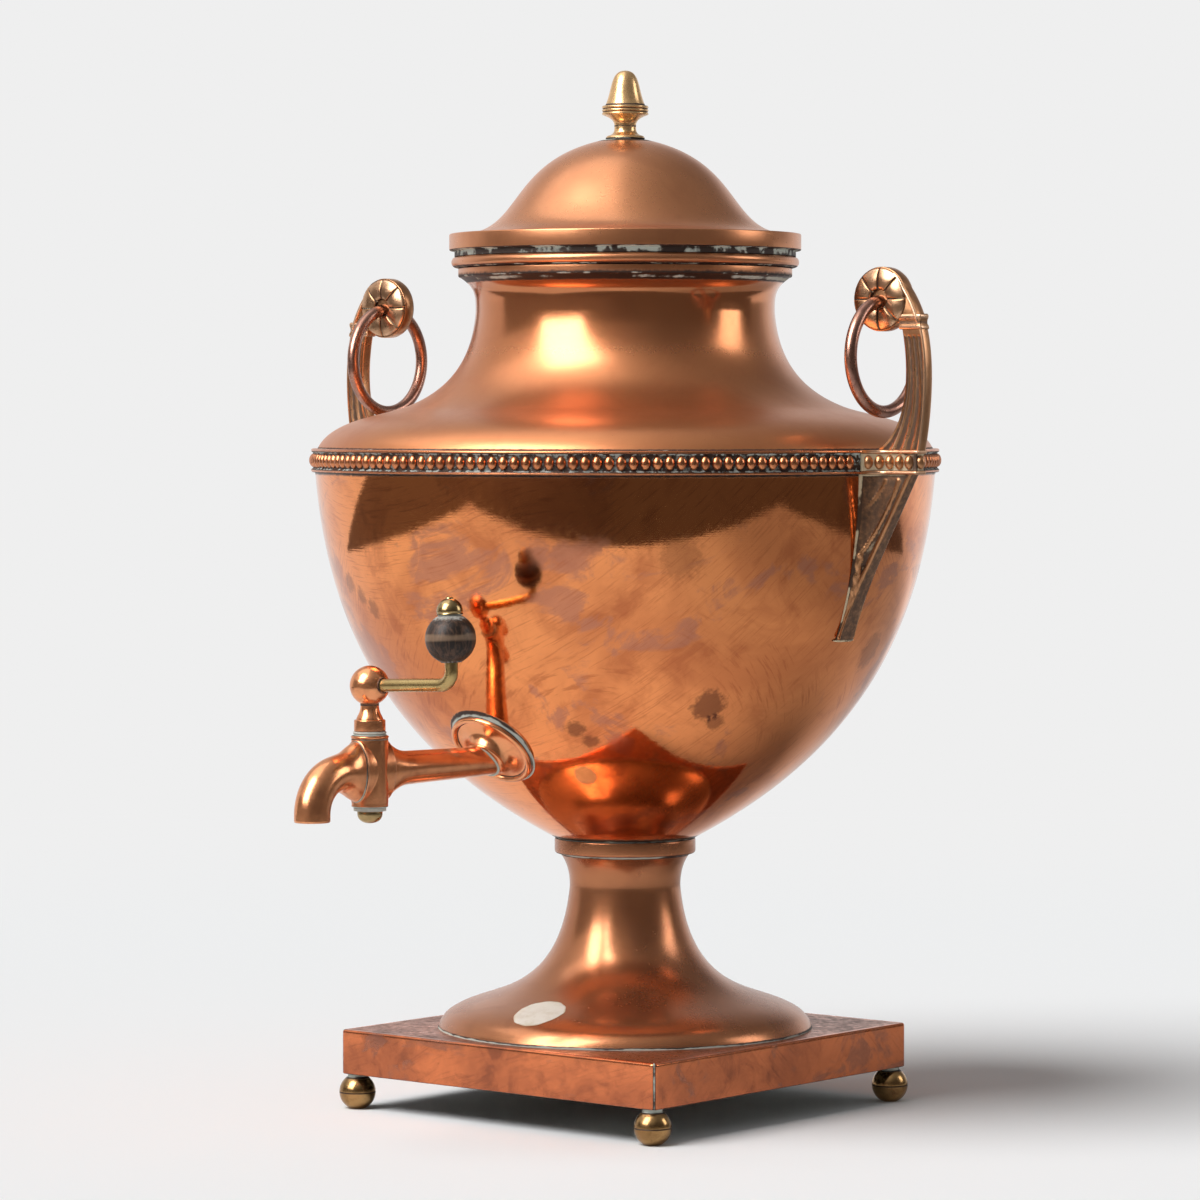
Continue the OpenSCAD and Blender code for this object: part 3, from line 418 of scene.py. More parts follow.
def makeCamera():
    yaw, pitch = math.radians(view["yaw"]), math.radians(view["pitch"])
    ahead = -toCamera * math.cos(yaw) - toRight * math.sin(yaw)
    x = toRight * math.cos(yaw) - toCamera * math.sin(yaw)
    y = zUp * math.cos(pitch) + ahead * math.sin(pitch)
    z = zUp * math.sin(pitch) - ahead * math.cos(pitch)
    spot = toCamera * view["distance"] + zUp * view["height"]
    data = bpy.data.cameras.new("camera")
    data.lens, data.sensor_width = view["lens"], view["sensor"]
    data.clip_start, data.clip_end = view["nearest"], view["farthest"]
    camera = bpy.data.objects.new("camera", data)
    camera.matrix_world = Matrix((
        (x.x, y.x, z.x, spot.x), (x.y, y.y, z.y, spot.y), (x.z, y.z, z.z, spot.z), (0, 0, 0, 1)))
    bpy.context.scene.collection.objects.link(camera)
    bpy.context.scene.camera = camera
    bpy.context.scene.view_settings.view_transform = "Standard"


makeCamera()
print("camera ready")

# Studio: floor, soft lamps, and the room that polished metal sees
studio = {
    "pale": (0.863, 0.863, 0.863), "floor": (0.862, 0.871, 0.876), "ambient": 0.24, "room": (0.16, 0.145, 0.135),
    "roomFloor": (0.15, 0.13, 0.115), "roomFar": (0.085, 0.075, 0.066), "roomReach": 3.4, "roomHigh": 1.5,
    "tableFront": 0.70, "tableLeft": -1.05, "tableRight": 1.02, "tableBack": -0.9,
    "sunPower": 2.86, "sunTurn": -62.5, "sunRise": 55.0, "sunSpread": 40.0,
}
# Lamps stand at a turn to the right of the camera, in degrees, a distance away and a height up
lamps = {
    "keyLamp": {"turn": -50.0, "away": 1.8, "height": 1.72, "aim": 0.33, "size": (1.4, 1.9), "power": 74.0},
    "fillLamp": {"turn": 88.0, "away": 2.0, "height": 1.0, "aim": 0.25, "size": (0.7, 1.0), "power": 7.0},
    "topLamp": {"turn": -96.01, "away": 0.95525, "height": 2.2, "aim": 0.2, "size": (1.9, 1.9), "power": 10.0},
}


def towards(turn):
    return toCamera * math.cos(math.radians(turn)) + toRight * math.sin(math.radians(turn))


def dotOf(g, vector, way):
    return g.node("ShaderNodeVectorMath", {"operation": "DOT_PRODUCT"}, [vector, tuple(way)], "Value")


def setWorld():
    world = bpy.data.worlds.new("studioSky")
    bpy.context.scene.world = world
    world.use_nodes = True
    world.node_tree.nodes.clear()
    g = Graph(world.node_tree)
    way = g.node("ShaderNodeTexCoord", {}, {}, "Generated")
    height = g.node("ShaderNodeSeparateXYZ", {}, [way], 2)
    across, out = dotOf(g, way, toRight), dotOf(g, way, toCamera)
    low = 1.0 - height.rise(0.2, 0.5)
    share = 0.86 - 0.6 * across.rise(-0.3, 0.5)
    share = share * (1.0 - 0.55 * out.rise(0.1, 0.6) * (1.0 - height.rise(0.45, 0.9)))
    share = share * (1.0 - 0.25 * (0.0 - out).rise(0.1, 0.5) * height.rise(0.3, 0.55))
    share = share + (1.0 - share) * low * (0.0 - out).rise(0.5, 0.85)
    sky = g.blend(share, (0, 0, 0), studio["pale"])
    seen = sum(g.node("ShaderNodeLightPath", {}, {}, f"Is {ray} Ray") for ray in ("Camera", "Glossy", "Transmission"))
    colour = g.blend(seen.clamped(), (studio["ambient"],) * 3, sky)
    background = g.node("ShaderNodeBackground", {}, {"Color": colour, "Strength": 1.0})
    g.node("ShaderNodeOutputWorld", {}, {"Surface": background})


# Soft lamps are what the metal mirrors; the sun and the sky light what isn't metal
def addLamps():
    for name, lamp in lamps.items():
        data = bpy.data.lights.new(name, "AREA")
        data.shape, data.energy = "RECTANGLE", lamp["power"]
        data.size, data.size_y = lamp["size"]
        made = bpy.data.objects.new(name, data)
        made.location = towards(lamp["turn"]) * lamp["away"] + zUp * lamp["height"]
        made.rotation_mode = "QUATERNION"
        made.rotation_quaternion = (zUp * lamp["aim"] - made.location).to_track_quat("-Z", "Y")
        made.visible_diffuse = False
        bpy.context.scene.collection.objects.link(made)


def addSun():
    data = bpy.data.lights.new("windowLight", "SUN")
    data.energy, data.angle = studio["sunPower"], math.radians(studio["sunSpread"])
    rise = math.radians(studio["sunRise"])
    way = towards(studio["sunTurn"]) * math.cos(rise) + zUp * math.sin(rise)
    sun = bpy.data.objects.new("windowLight", data)
    sun.rotation_mode = "QUATERNION"
    sun.rotation_quaternion = (-way).to_track_quat("-Z", "Y")
    sun.visible_glossy = False
    bpy.context.scene.collection.objects.link(sun)


# The floor fades into the pale distance; in reflections only it is darker towards the right, a painted shadow of the
# urn on the table
def makeFloor():
    def build(g):
        away = g.node("ShaderNodeVectorMath", {"operation": "LENGTH"}, [g.place()], "Value")
        far = away.rise(0.55, 1.5)
        grain = g.cloud(g.place(), 60.0, 3.0)
        across, out = dotOf(g, g.place(), toRight), dotOf(g, g.place(), toCamera)
        # Painted shadow: reflection rays see the floor darker towards the right, fading out far behind, in place of
        # the urn's shadow on the table
        shade = 0.06 * across.rise(-0.25, 0.05) + 0.32 * across.rise(0.0, 0.3) + 0.2 * across.rise(0.3, 0.6)
        shade = shade * (1.0 - (0.0 - out).rise(0.6, 1.6))
        shade = shade * g.node("ShaderNodeLightPath", {}, {}, "Is Glossy Ray")
        colour = g.blend(far, studio["floor"], (0, 0, 0))
        glow = g.blend(far, (0, 0, 0), studio["pale"])
        colour, glow = g.blend(shade, colour, (0, 0, 0)), g.blend(shade, glow, (0, 0, 0))
        return {"Base Color": colour, "Roughness": 0.82 + 0.1 * grain, "Specular IOR Level": 0.0,
                "Emission Color": glow, "Emission Strength": 1.0}

    rings, steps = [0.0, 0.4, 1.0, 2.0, 4.0, 9.0, 20.0], 96
    outline = [(r / mm, 0.0) for r in rings]
    points, faces, _ = spunMesh(np.array(outline), steps)
    faces = faces[:steps * (len(rings) - 1)]
    floor = meshObject("floor", points, faces, makeMaterial("paleFloor", build), fix=False)


# Dark room beyond the table's edge, seen only in reflections
def makeRoom():
    def glowing(name, colour):
        return makeMaterial(name, lambda g: {
            "Base Color": (0, 0, 0), "Roughness": 1.0, "Specular IOR Level": 0.0,
            "Emission Color": g.blend(dotOf(g, g.place(), toRight).rise(-1.3, -0.1), colour, studio["roomFar"]),
            "Emission Strength": 1.0})

    far, lift = 5.0, 0.003
    front, back = studio["tableFront"], studio["tableBack"]
    left, right = studio["tableLeft"], studio["tableRight"]
    points, faces = [], []
    for quad in ([(-far, front), (far, front), (far, far), (-far, far)],
                 [(-far, back), (left, back), (left, front), (-far, front)],
                 [(right, back), (far, back), (far, front), (right, front)]):
        faces.append(list(range(len(points), len(points) + 4)))
        points += [toRight * across + toCamera * out + zUp * lift for across, out in quad]
    cards = [meshObject("roomFloor", points, faces, glowing("dimFloor", studio["roomFloor"]), fix=False)]
    points, faces, steps = [], [], 40
    for k in range(steps + 1):
        foot = towards(-106 + 218 * k / steps) * studio["roomReach"]
        points += [foot + zUp * lift, foot + zUp * studio["roomHigh"]]
        if k:
            faces.append([2 * k - 2, 2 * k, 2 * k + 1, 2 * k - 1])
    cards.append(meshObject("roomWall", points, faces, glowing("dimWall", studio["room"]), fix=False))
    for card in cards:
        card.visible_camera = False
        card.visible_diffuse = False
        card.visible_shadow = False
        card.visible_transmission = False


setWorld()
makeFloor()
makeRoom()
addLamps()
addSun()
print("studio ready")

# Materials: colours are linear, dull and dents are in mm, spots are (place in metres, radius in metres, depth)
bowlCopper = agedMetal(
    "bowlCopper", bright=(0.93, 0.335, 0.12), dark=(0.42, 0.11, 0.045), bloom=(0.60, 0.235, 0.14), patina=0.72,
    bloomAmount=0.85, blotch=(0.50, 0.20, 0.125), blotchAmount=0.72, hatch=0.5, rough=0.06, roughMore=0.13,
    cloudScale=11.0, dents=0.7, dentScale=9.0, scratches=0.25, pits=0.35,
    spots=[
        ((0.089, -0.054, 0.180), 0.0085, 0.75), ((0.087, -0.047, 0.173), 0.005, 0.6),
        ((0.044, -0.086, 0.170), 0.006, 0.7), ((0.047, -0.080, 0.165), 0.0055, 0.65),
        ((-0.042, -0.116, 0.219), 0.005, 0.5), ((-0.060, -0.111, 0.229), 0.006, 0.5),
        ((-0.051, -0.114, 0.224), 0.005, 0.5), ((0.098, -0.084, 0.242), 0.012, 0.35),
        ((0.113, 0.027, 0.201), 0.010, 0.45), ((-0.095, 0.055, 0.200), 0.009, 0.6),
        ((0.030, 0.116, 0.215), 0.008, 0.6), ((-0.02, 0.10, 0.170), 0.006, 0.6)
    ])
shoulderCopper = agedMetal(
    "shoulderCopper", bright=(0.64, 0.25, 0.105), dark=(0.52, 0.175, 0.075), bloom=(0.62, 0.30, 0.17),
    patina=0.45, bloomAmount=0.35, hatch=0.15, metal=0.86, rough=0.13, roughMore=0.10, dull=(312.0, 352.0, 0.2),
    seed=3.1, dents=0.3, lines=0.35, scratches=0.2, pits=0.5)
lidCopper = agedMetal(
    "lidCopper", bright=(0.68, 0.285, 0.132), dark=(0.48, 0.18, 0.085), bloom=(0.60, 0.30, 0.17), patina=0.45,
    bloomAmount=0.3, metal=0.84, rough=0.28, roughMore=0.10, seed=5.7, dents=0.25, lines=0.5, scratches=0.2,
    pits=0.5, crust=110.0, chalk=-0.12)
bandCopper = agedMetal(
    "bandCopper", bright=(0.72, 0.27, 0.12), dark=(0.40, 0.13, 0.06), bloom=(0.5, 0.27, 0.16), patina=0.6,
    bloomAmount=0.3, rough=0.26, roughMore=0.12, cloudScale=40.0, seed=8.3, dents=0.1, pits=0.6,
    grimePale=(0.40, 0.44, 0.41), crust=420.0, chalk=0.02)
footCopper = agedMetal(
    "footCopper", bright=(0.51, 0.205, 0.092), dark=(0.30, 0.105, 0.05), bloom=(0.46, 0.20, 0.11), patina=0.55,
    bloomAmount=0.4, metal=0.78, rough=0.24, roughMore=0.12, seed=11.9, dents=0.3, lines=0.4, scratches=0.25,
    pits=0.5, chalk=0.25)
plinthCopper = agedMetal(
    "plinthCopper", bright=(0.83, 0.25, 0.10), dark=(0.31, 0.10, 0.055), bloom=(0.47, 0.25, 0.18), patina=0.85,
    bloomAmount=0.75, blotch=(0.34, 0.17, 0.125), blotchAmount=0.5, hatch=0.4, metal=0.92, rough=0.17,
    roughMore=0.14, cloudScale=19.0, seed=14.2, dents=0.35, dentScale=22.0, scratches=0.4, pits=0.6)
tapCopper = agedMetal(
    "tapCopper", bright=(0.90, 0.375, 0.17), dark=(0.38, 0.14, 0.065), bloom=(0.68, 0.37, 0.22), patina=0.65,
    bloomAmount=0.35, metal=0.88, rough=0.2, roughMore=0.14, cloudScale=45.0, seed=17.4, dents=0.06,
    dentScale=90.0, scratches=0.15, pits=0.6, chalk=0.3)
bracketBronze = agedMetal(
    "bracketBronze", bright=(0.60, 0.295, 0.14), dark=(0.27, 0.115, 0.055), bloom=(0.46, 0.30, 0.15),
    patina=0.6, bloomAmount=0.4, metal=0.9, rough=0.28, roughMore=0.12, cloudScale=48.0, seed=21.0, dents=0.06,
    dentScale=90.0, pits=0.7, grimeDark=(0.09, 0.048, 0.027), grimePale=(0.62, 0.50, 0.33))
rosetteBronze = agedMetal(
    "rosetteBronze", bright=(0.43, 0.225, 0.11), dark=(0.34, 0.15, 0.075), bloom=(0.52, 0.34, 0.18), patina=0.5,
    bloomAmount=0.5, rough=0.27, roughMore=0.12, cloudScale=70.0, seed=23.3, dents=0.04, dentScale=120.0,
    pits=0.7, grimePale=(0.66, 0.55, 0.38))
ringCopper = agedMetal(
    "ringCopper", bright=(0.50, 0.26, 0.19), dark=(0.17, 0.08, 0.065), bloom=(0.42, 0.25, 0.23), patina=0.7,
    bloomAmount=0.6, rough=0.26, roughMore=0.14, cloudScale=60.0, seed=26.8, dents=0.08, dentScale=80.0,
    pits=0.8)
footBrass = agedMetal(
    "footBrass", bright=(0.46, 0.27, 0.11), dark=(0.20, 0.11, 0.045), bloom=(0.38, 0.28, 0.14), patina=0.7,
    bloomAmount=0.5, rough=0.2, roughMore=0.16, cloudScale=95.0, seed=31.5, dents=0.05, dentScale=120.0,
    pits=0.9)
finialBrass = agedMetal(
    "finialBrass", bright=(0.88, 0.55, 0.26), dark=(0.38, 0.23, 0.10), bloom=(0.60, 0.44, 0.25), patina=0.55,
    bloomAmount=0.5, metal=0.8, rough=0.24, roughMore=0.12, cloudScale=80.0, seed=34.9, dents=0.03, lines=0.4,
    pits=0.5)
leverBrass = agedMetal(
    "leverBrass", bright=(0.56, 0.40, 0.17), dark=(0.32, 0.22, 0.09), bloom=(0.46, 0.38, 0.20), patina=0.6,
    bloomAmount=0.7, rough=0.27, roughMore=0.12, cloudScale=70.0, seed=38.1, dents=0.03, pits=0.12)
screwBrass = agedMetal(
    "screwBrass", bright=(0.44, 0.31, 0.145), dark=(0.22, 0.14, 0.065), patina=0.6, rough=0.2, cloudScale=120.0,
    seed=41.7, dents=0.03, pits=0.6)
dullIron = agedMetal(
    "dullIron", bright=(0.20, 0.19, 0.18), dark=(0.10, 0.07, 0.05), bloom=(0.22, 0.13, 0.08), patina=0.7,
    rough=0.5, roughMore=0.2, cloudScale=60.0, seed=44.0, dents=0.1, pits=0.8)


def fibreLook(g):
    grain = g.cloud(g.place(), 900.0, 4.0)
    return {"Base Color": g.blend(grain, (0.42, 0.39, 0.33), (0.62, 0.60, 0.54)), "Roughness": 0.85,
            "Normal": g.bump(grain, 0.5, 0.05 * mm)}


def woodLook(g):
    spot = g.place()
    streak = g.cloud(g.place((640, 640, 130)), 1.0, 5.0, 0.65, 0.6)
    wide = g.cloud(g.place((70, 70, 260), shift=(4, 2, 1)), 1.0, 3.0, 0.5)
    pores = g.cloud(g.place((1500, 1500, 160)), 1.0, 3.0, 0.6)
    worn = (0.0 - g.attribute("grime")).clamped()
    colour = g.blend(streak.rise(0.42, 0.66), (0.016, 0.009, 0.006), (0.085, 0.042, 0.024))
    colour = g.blend((worn * (0.35 + wide)).rise(0.35, 0.85) * (0.45 + 0.5 * streak), colour, (0.27, 0.17, 0.105))
    dust = (g.attribute("grime") * (0.4 + g.cloud(spot, 900.0, 4.0, 0.7) * 1.3)).rise(0.62, 0.95)
    colour = g.blend(dust, colour, (0.42, 0.40, 0.36))
    return {"Base Color": colour, "Roughness": (0.34 + 0.2 * pores + 0.4 * dust).clamped(),
            "Specular IOR Level": 0.32, "Normal": g.bump(streak * 0.6 + pores * 0.8, 0.6, 0.14 * mm)}


def paperLook(g):
    stain = g.cloud(g.place(), 180.0, 4.0, 0.6)
    fibre = g.cloud(g.place(), 2600.0, 3.0, 0.6)
    worn = g.attribute("grime")
    colour = g.blend(stain.rise(0.4, 0.75), (0.78, 0.74, 0.66), (0.66, 0.60, 0.49))
    colour = g.blend((worn * (0.5 + stain)).rise(0.5, 0.9), colour, (0.55, 0.42, 0.28))
    return {"Base Color": colour, "Roughness": 0.7, "Normal": g.bump(fibre, 0.4, 0.02 * mm)}


washerFibre = makeMaterial("washerFibre", fibreLook)
gripWood = makeMaterial("gripWood", woodLook)
stickerPaper = makeMaterial("stickerPaper", paperLook)
print("materials ready")

# Heights and radii that several of the urn's pieces share, in mm
urn = {
    "footTop": 15.2, "plinthTop": 34.4, "stemTop": 110.4, "bowlBottom": 117.4, "bandBottom": 276.2,
    "bandTop": 286.4, "mouthBottom": 360.3, "lidBottom": 369.28, "lidTop": 379.08, "domeTop": 420.08,
    "pedestalRadius": 81.6, "stemRadius": 24.1, "collarRadius": 30.7, "bowlRadius": 134.5, "neckRadius": 64.9,
    "boltHole": 4.65, "sheet": 1.6, "lidSheet": 1.3,
}
bowlFoot = np.array((urn["collarRadius"], urn["bowlBottom"]))
bowlRim = np.array((urn["bowlRadius"], urn["bandBottom"]))
bowlLine = bezier(bowlFoot, bowlFoot + polar(74, 27.9), bowlRim - polar(75, 85.5), bowlRim, 110)
pedestalFoot, pedestalToe = (urn["pedestalRadius"], urn["plinthTop"]), (74.8, 42.6)
stemLow = (urn["stemRadius"], 96.1)
pedestalLine = chain(
    bezier(pedestalFoot, (80.58, 38.09), (78.2, 40.8), pedestalToe, 14),
    bezier(pedestalToe, (59.2, 51.5), (28.6, 48.2), stemLow, 70),
    bezier(stemLow, (urn["stemRadius"], 103.9), (26.6, 108.3), (28.5, urn["stemTop"]), 16))
shoulderFoot, fold = np.array((133.4, urn["bandTop"])), np.array((95.2, 304.3))
neckLow = (urn["neckRadius"], 345.4)
shoulderLine = chain(
    bezier(shoulderFoot, shoulderFoot + polar(14, 115.8), fold - polar(10.9, 159.5), fold, 36),
    bezier(fold, fold + polar(22.9, 159.3), (66.3, 327.4), neckLow, 60),
    bezier(neckLow, (urn["neckRadius"], 352.4), (urn["neckRadius"], 355.9), (71.5, urn["mouthBottom"]), 20))
domePeak = np.array((8.5, urn["domeTop"]))
domeLine = bezier(domePeak, domePeak + polar(44.5, -11.4), (43.9, urn["lidTop"]), (72.0, urn["lidTop"]), 80)


def bowlRadiusAt(z):
    return float(np.interp(z, bowlLine[:, 1], bowlLine[:, 0]))


# Closed outline of a sheet along a line, cut level at both ends
def shell(line, thickness):
    inner = beside(line, thickness)
    inner[:, 1] = np.clip(inner[:, 1], line[0, 1], line[-1, 1])
    inner[0, 1], inner[-1, 1] = line[0, 1], line[-1, 1]
    return np.vstack([line, inner[::-3], inner[:1]])


band = {"radius": 136.2, "seat": 135.2, "inside": 132.9, "fillet": 1.7}


def makeVessel():
    bottom, sheet, hole, rim, turns = urn["bowlBottom"], urn["sheet"], urn["boltHole"], band["inside"], 320
    low, high = urn["bandBottom"], urn["bandTop"]
    inner = beside(bowlLine, sheet)[3:-1]
    bowl = chain([(hole, bottom)], bowlLine, [(rim, low)], inner[::-3],
                 [(30, bottom + sheet), (hole, bottom + sheet)])
    rideOn(spun("bowl", bowl, bowlCopper, [(bottom, 1.8, 0.8), (low, 1.0, 0.7)], turns),
           "urn", "bowl_copper", "bowl")
    marks = [(high, 0.9, 0.8), (urn["mouthBottom"] - 1.1, 1.6, 0.9)]
    rideOn(spun("shoulder", shell(shoulderLine, sheet), shoulderCopper, marks, turns),
           "urn", "shoulder_copper", "shoulder", "neck")
    fillet, seat, out = band["fillet"], band["seat"], band["radius"] - 0.8
    outline = chain(
        [(rim, low)], arc((out, low + 0.8), 0.8, -90, 62, 8), [(seat + 0.3, low + fillet)],
        [(seat, low + fillet + 0.4), (seat, high - fillet - 0.4)], [(seat + 0.3, high - fillet)],
        arc((out, high - 0.8), 0.8, -62, 90, 8), [(rim, high)])
    marks = [(low + 1.7, 0.8, 1.0), (high - 1.7, 0.8, 1.0), (low, 0.5, 0.7)]
    rideOn(spun("band", outline, bandCopper, marks, turns), "urn", "band_copper", "band")


# Beads round the band, left out where the handles' pads sit
beads = {"Radius": (band["seat"] - 0.3) * mm, "Height": 281.3 * mm, "Count": 172, "Width": 4.5 * mm,
         "Upright": 6.3 * mm, "Gap": 13.4 * mm}


def makeBeadRow():
    tree, g, given = newTree("beadRing", [
        ("Radius", "NodeSocketFloat"), ("Height", "NodeSocketFloat"), ("Count", "NodeSocketInt"),
        ("Width", "NodeSocketFloat"), ("Upright", "NodeSocketFloat"), ("Gap", "NodeSocketFloat"),
        ("Metal", "NodeSocketMaterial")])
    ring = g.node("GeometryNodeMeshCircle", {"fill_type": "NONE"}, {
        "Vertices": given["Count"], "Radius": given["Radius"]})
    lift = g.node("ShaderNodeCombineXYZ", {}, {"Z": given["Height"]})
    turn = g.node("ShaderNodeCombineXYZ", {}, {"Z": math.pi / given["Count"]})
    ring = g.node("GeometryNodeTransform", {}, {"Geometry": ring, "Translation": lift, "Rotation": turn})
    across = g.node("ShaderNodeSeparateXYZ", {}, [g.node("GeometryNodeInputPosition")], 1)
    near = g.node("ShaderNodeMath", {"operation": "LESS_THAN"}, [across.size(), given["Gap"]])
    ring = g.node("GeometryNodeDeleteGeometry", {"domain": "POINT"}, {"Geometry": ring, "Selection": near})
    bead = g.node("GeometryNodeMeshUVSphere", {}, {"Segments": 14, "Rings": 9, "Radius": 0.5})
    vary = g.node("FunctionNodeRandomValue", {"data_type": "FLOAT_VECTOR"}, {
        0: (0.93, 0.93, 0.94), 1: (1.0, 1.0, 1.0), "Seed": 7})
    size = g.node("ShaderNodeCombineXYZ", {}, {"X": given["Width"], "Y": given["Width"], "Z": given["Upright"]})
    size = g.node("ShaderNodeVectorMath", {"operation": "MULTIPLY"}, [size, vary])
    row = g.node("GeometryNodeInstanceOnPoints", {}, {"Points": ring, "Instance": bead, "Scale": size})
    endTree(g, row, given["Metal"])
    row = grown("beadRow", tree, {**beads, "Metal": bandCopper})
    rideOn(row, "urn", "band_copper", "bead_row")


lid = {"mouthHole": 62.3, "mouthRadius": 72.4, "roll": 2.35, "skirt": 60.5, "skirtLong": 11.0, "edge": 76.3,
       "lip": 74.0, "ledge": 74.2, "stud": 2.65}


def makeLid():
    hole, out, low = lid["mouthHole"], lid["mouthRadius"], urn["mouthBottom"]
    mouth = chain(
        [(hole, low), (out - 0.9, low)],
        bezier((out - 0.9, low), (out - 0.2, low + 0.1), (out, low + 0.4), (out, low + 0.9), 4),
        bezier((out, low + 3.3), (out, low + 3.9), (out - 0.2, low + 4.2), (out - 0.7, low + 4.2), 4),
        [(out - 1.0, low + 4.25)], arc((out + 0.65, low + 6.55), lid["roll"], -105, 105, 18),
        [(out - 1.2, low + 8.9), (hole, low + 8.9)])
    marks = [(low + 0.3, 0.9, 0.9), (low + 4.3, 0.7, 1.0), (out - 1.0, low + 8.9, 0.5, 1.0)]
    rideOn(spun("mouthRing", mouth, lidCopper, marks), "urn", "lid_copper", "mouth_ring")

    skirt, out, lip, ledge, sheet = lid["skirt"], lid["edge"], lid["lip"], lid["ledge"], urn["lidSheet"]
    low, high = urn["lidBottom"], urn["lidTop"]
    edge = chain(
        [(skirt, low - lid["skirtLong"]), (skirt + sheet, low - lid["skirtLong"]), (skirt + sheet, low)],
        [(lip, low), (lip, low + 2.32), (out - 0.9, low + 2.62)],
        arc((out - 0.6, low + 3.22), 0.6, -90, 0, 4), arc((out - 0.6, high - 0.6), 0.6, 0, 90, 4),
        [(ledge, high), (ledge, high - sheet), (ledge - 3, high - sheet)],
        [(ledge - 3, low + sheet), (skirt, low + sheet)])
    rideOn(spun("lidEdge", edge, lidCopper, [(low + 2.42, 0.7, 1.1), (low, 0.7, 0.9)]),
           "lid", "lid_copper", "lid_edge")

    stud, top = lid["stud"], urn["domeTop"]
    under = beside(domeLine, -sheet)[2:-1]
    dome = chain([(stud, top)], domeLine, [(ledge, high), (ledge, high - sheet), (72.0, high - sheet)],
                 under[::-3], [(8.2, top - sheet), (stud, top - sheet)])
    rideOn(spun("lidDome", dome, lidCopper, [(top - 0.18, 1.0, 0.9), (ledge, high, 0.5, 0.8)]),
           "lid", "lid_copper", "lid_dome")


finial = {"seat": 8.5, "waist": 4.7, "radius": 10.1, "ringsAt": 10.43, "ring": 0.62, "ringPitch": 1.4,
          "high": 29.8, "stud": 2.5, "studLong": 8.3}


def makeFinial():
    z, r, seat, waist, stud = urn["domeTop"], finial["radius"], finial["seat"], finial["waist"], finial["stud"]
    rings, pitch, top = z + finial["ringsAt"], finial["ringPitch"], z + finial["high"]
    outline = chain(
        [(0, z - finial["studLong"]), (stud, z - finial["studLong"]), (stud, z), (seat - 0.4, z)],
        arc((seat - 0.5, z + 0.55), 0.5, -90, 60, 5), [(seat - 0.6, z + 1.5)],
        bezier((seat - 1.6, z + 1.8), (waist, z + 2.6), (waist, z + 4), (waist, z + 5.6), 14),
        bezier((waist, z + 6), (waist, z + 8.4), (r - 3, rings - 0.8), (r - 0.7, rings), 14),
        *[arc((r - finial["ring"], rings + pitch * (k + 0.5)), finial["ring"], -75, 75, 6) for k in range(3)],
        [(r - 1.5, rings + 4.35)],
        bezier((r - 1.9, rings + 5.4), (r - 4.6, rings + 12.4), (r * 0.62, top), (0, top), 26))
    outline[-1, 0] = 0.0
    marks = [(z + 0.2, 0.6, 1.0), (rings + pitch, 0.28, 0.8), (rings + 2 * pitch, 0.28, 0.8),
             (rings + 4.4, 0.5, 0.9), (z + 5.8, 0.8, 0.5)]
    rideOn(spun("finial", outline, finialBrass, marks, 96), "lid", "brass_fittings", "finial")


def makePedestal():
    low, high, out, hole = urn["stemTop"], urn["bowlBottom"], urn["collarRadius"], urn["boltHole"]
    marks = [(urn["plinthTop"], 1.0, 1.25), (low, 1.0, 0.9)]
    rideOn(spun("pedestal", shell(pedestalLine, urn["sheet"]), footCopper, marks, 320),
           "urn", "foot_copper", "pedestal")
    collar = chain(
        [(hole, low), (out - 1.5, low)],
        bezier((out - 1.5, low), (out - 0.4, low), (out, low + 0.5), (out, low + 1.5), 5),
        bezier((out, high - 1.5), (out, high - 0.5), (out - 0.4, high), (out - 1.5, high), 5), [(hole, high)])
    rideOn(spun("collar", collar, footCopper, [(low, 0.7, 0.9), (high, 0.7, 0.9)], 192),
           "urn", "foot_copper", "collar")


# Points round a square with rounded corners, close enough together to carry deposits and painted shade
def squareRing(half, radius, count=10):
    ring = []
    for q, (sx, sy) in enumerate(((1, 1), (-1, 1), (-1, -1), (1, -1))):
        cx, cy = sx * (half - radius), sy * (half - radius)
        for k in range(count + 1):
            a = math.radians(90 * q + 90 * k / count)
            ring.append((cx + radius * math.cos(a), cy + radius * math.sin(a)))
    dense = []
    for k, point in enumerate(ring):
        after = ring[(k + 1) % len(ring)]
        length = math.dist(point, after)
        pieces = max(1, round(length / 6.0))
        dense += [(point[0] + (after[0] - point[0]) * i / pieces, point[1] + (after[1] - point[1]) * i / pieces)
                  for i in range(pieces)]
    return dense


plinth = {"half": 87.75, "corner": 2.5, "edge": 1.1}
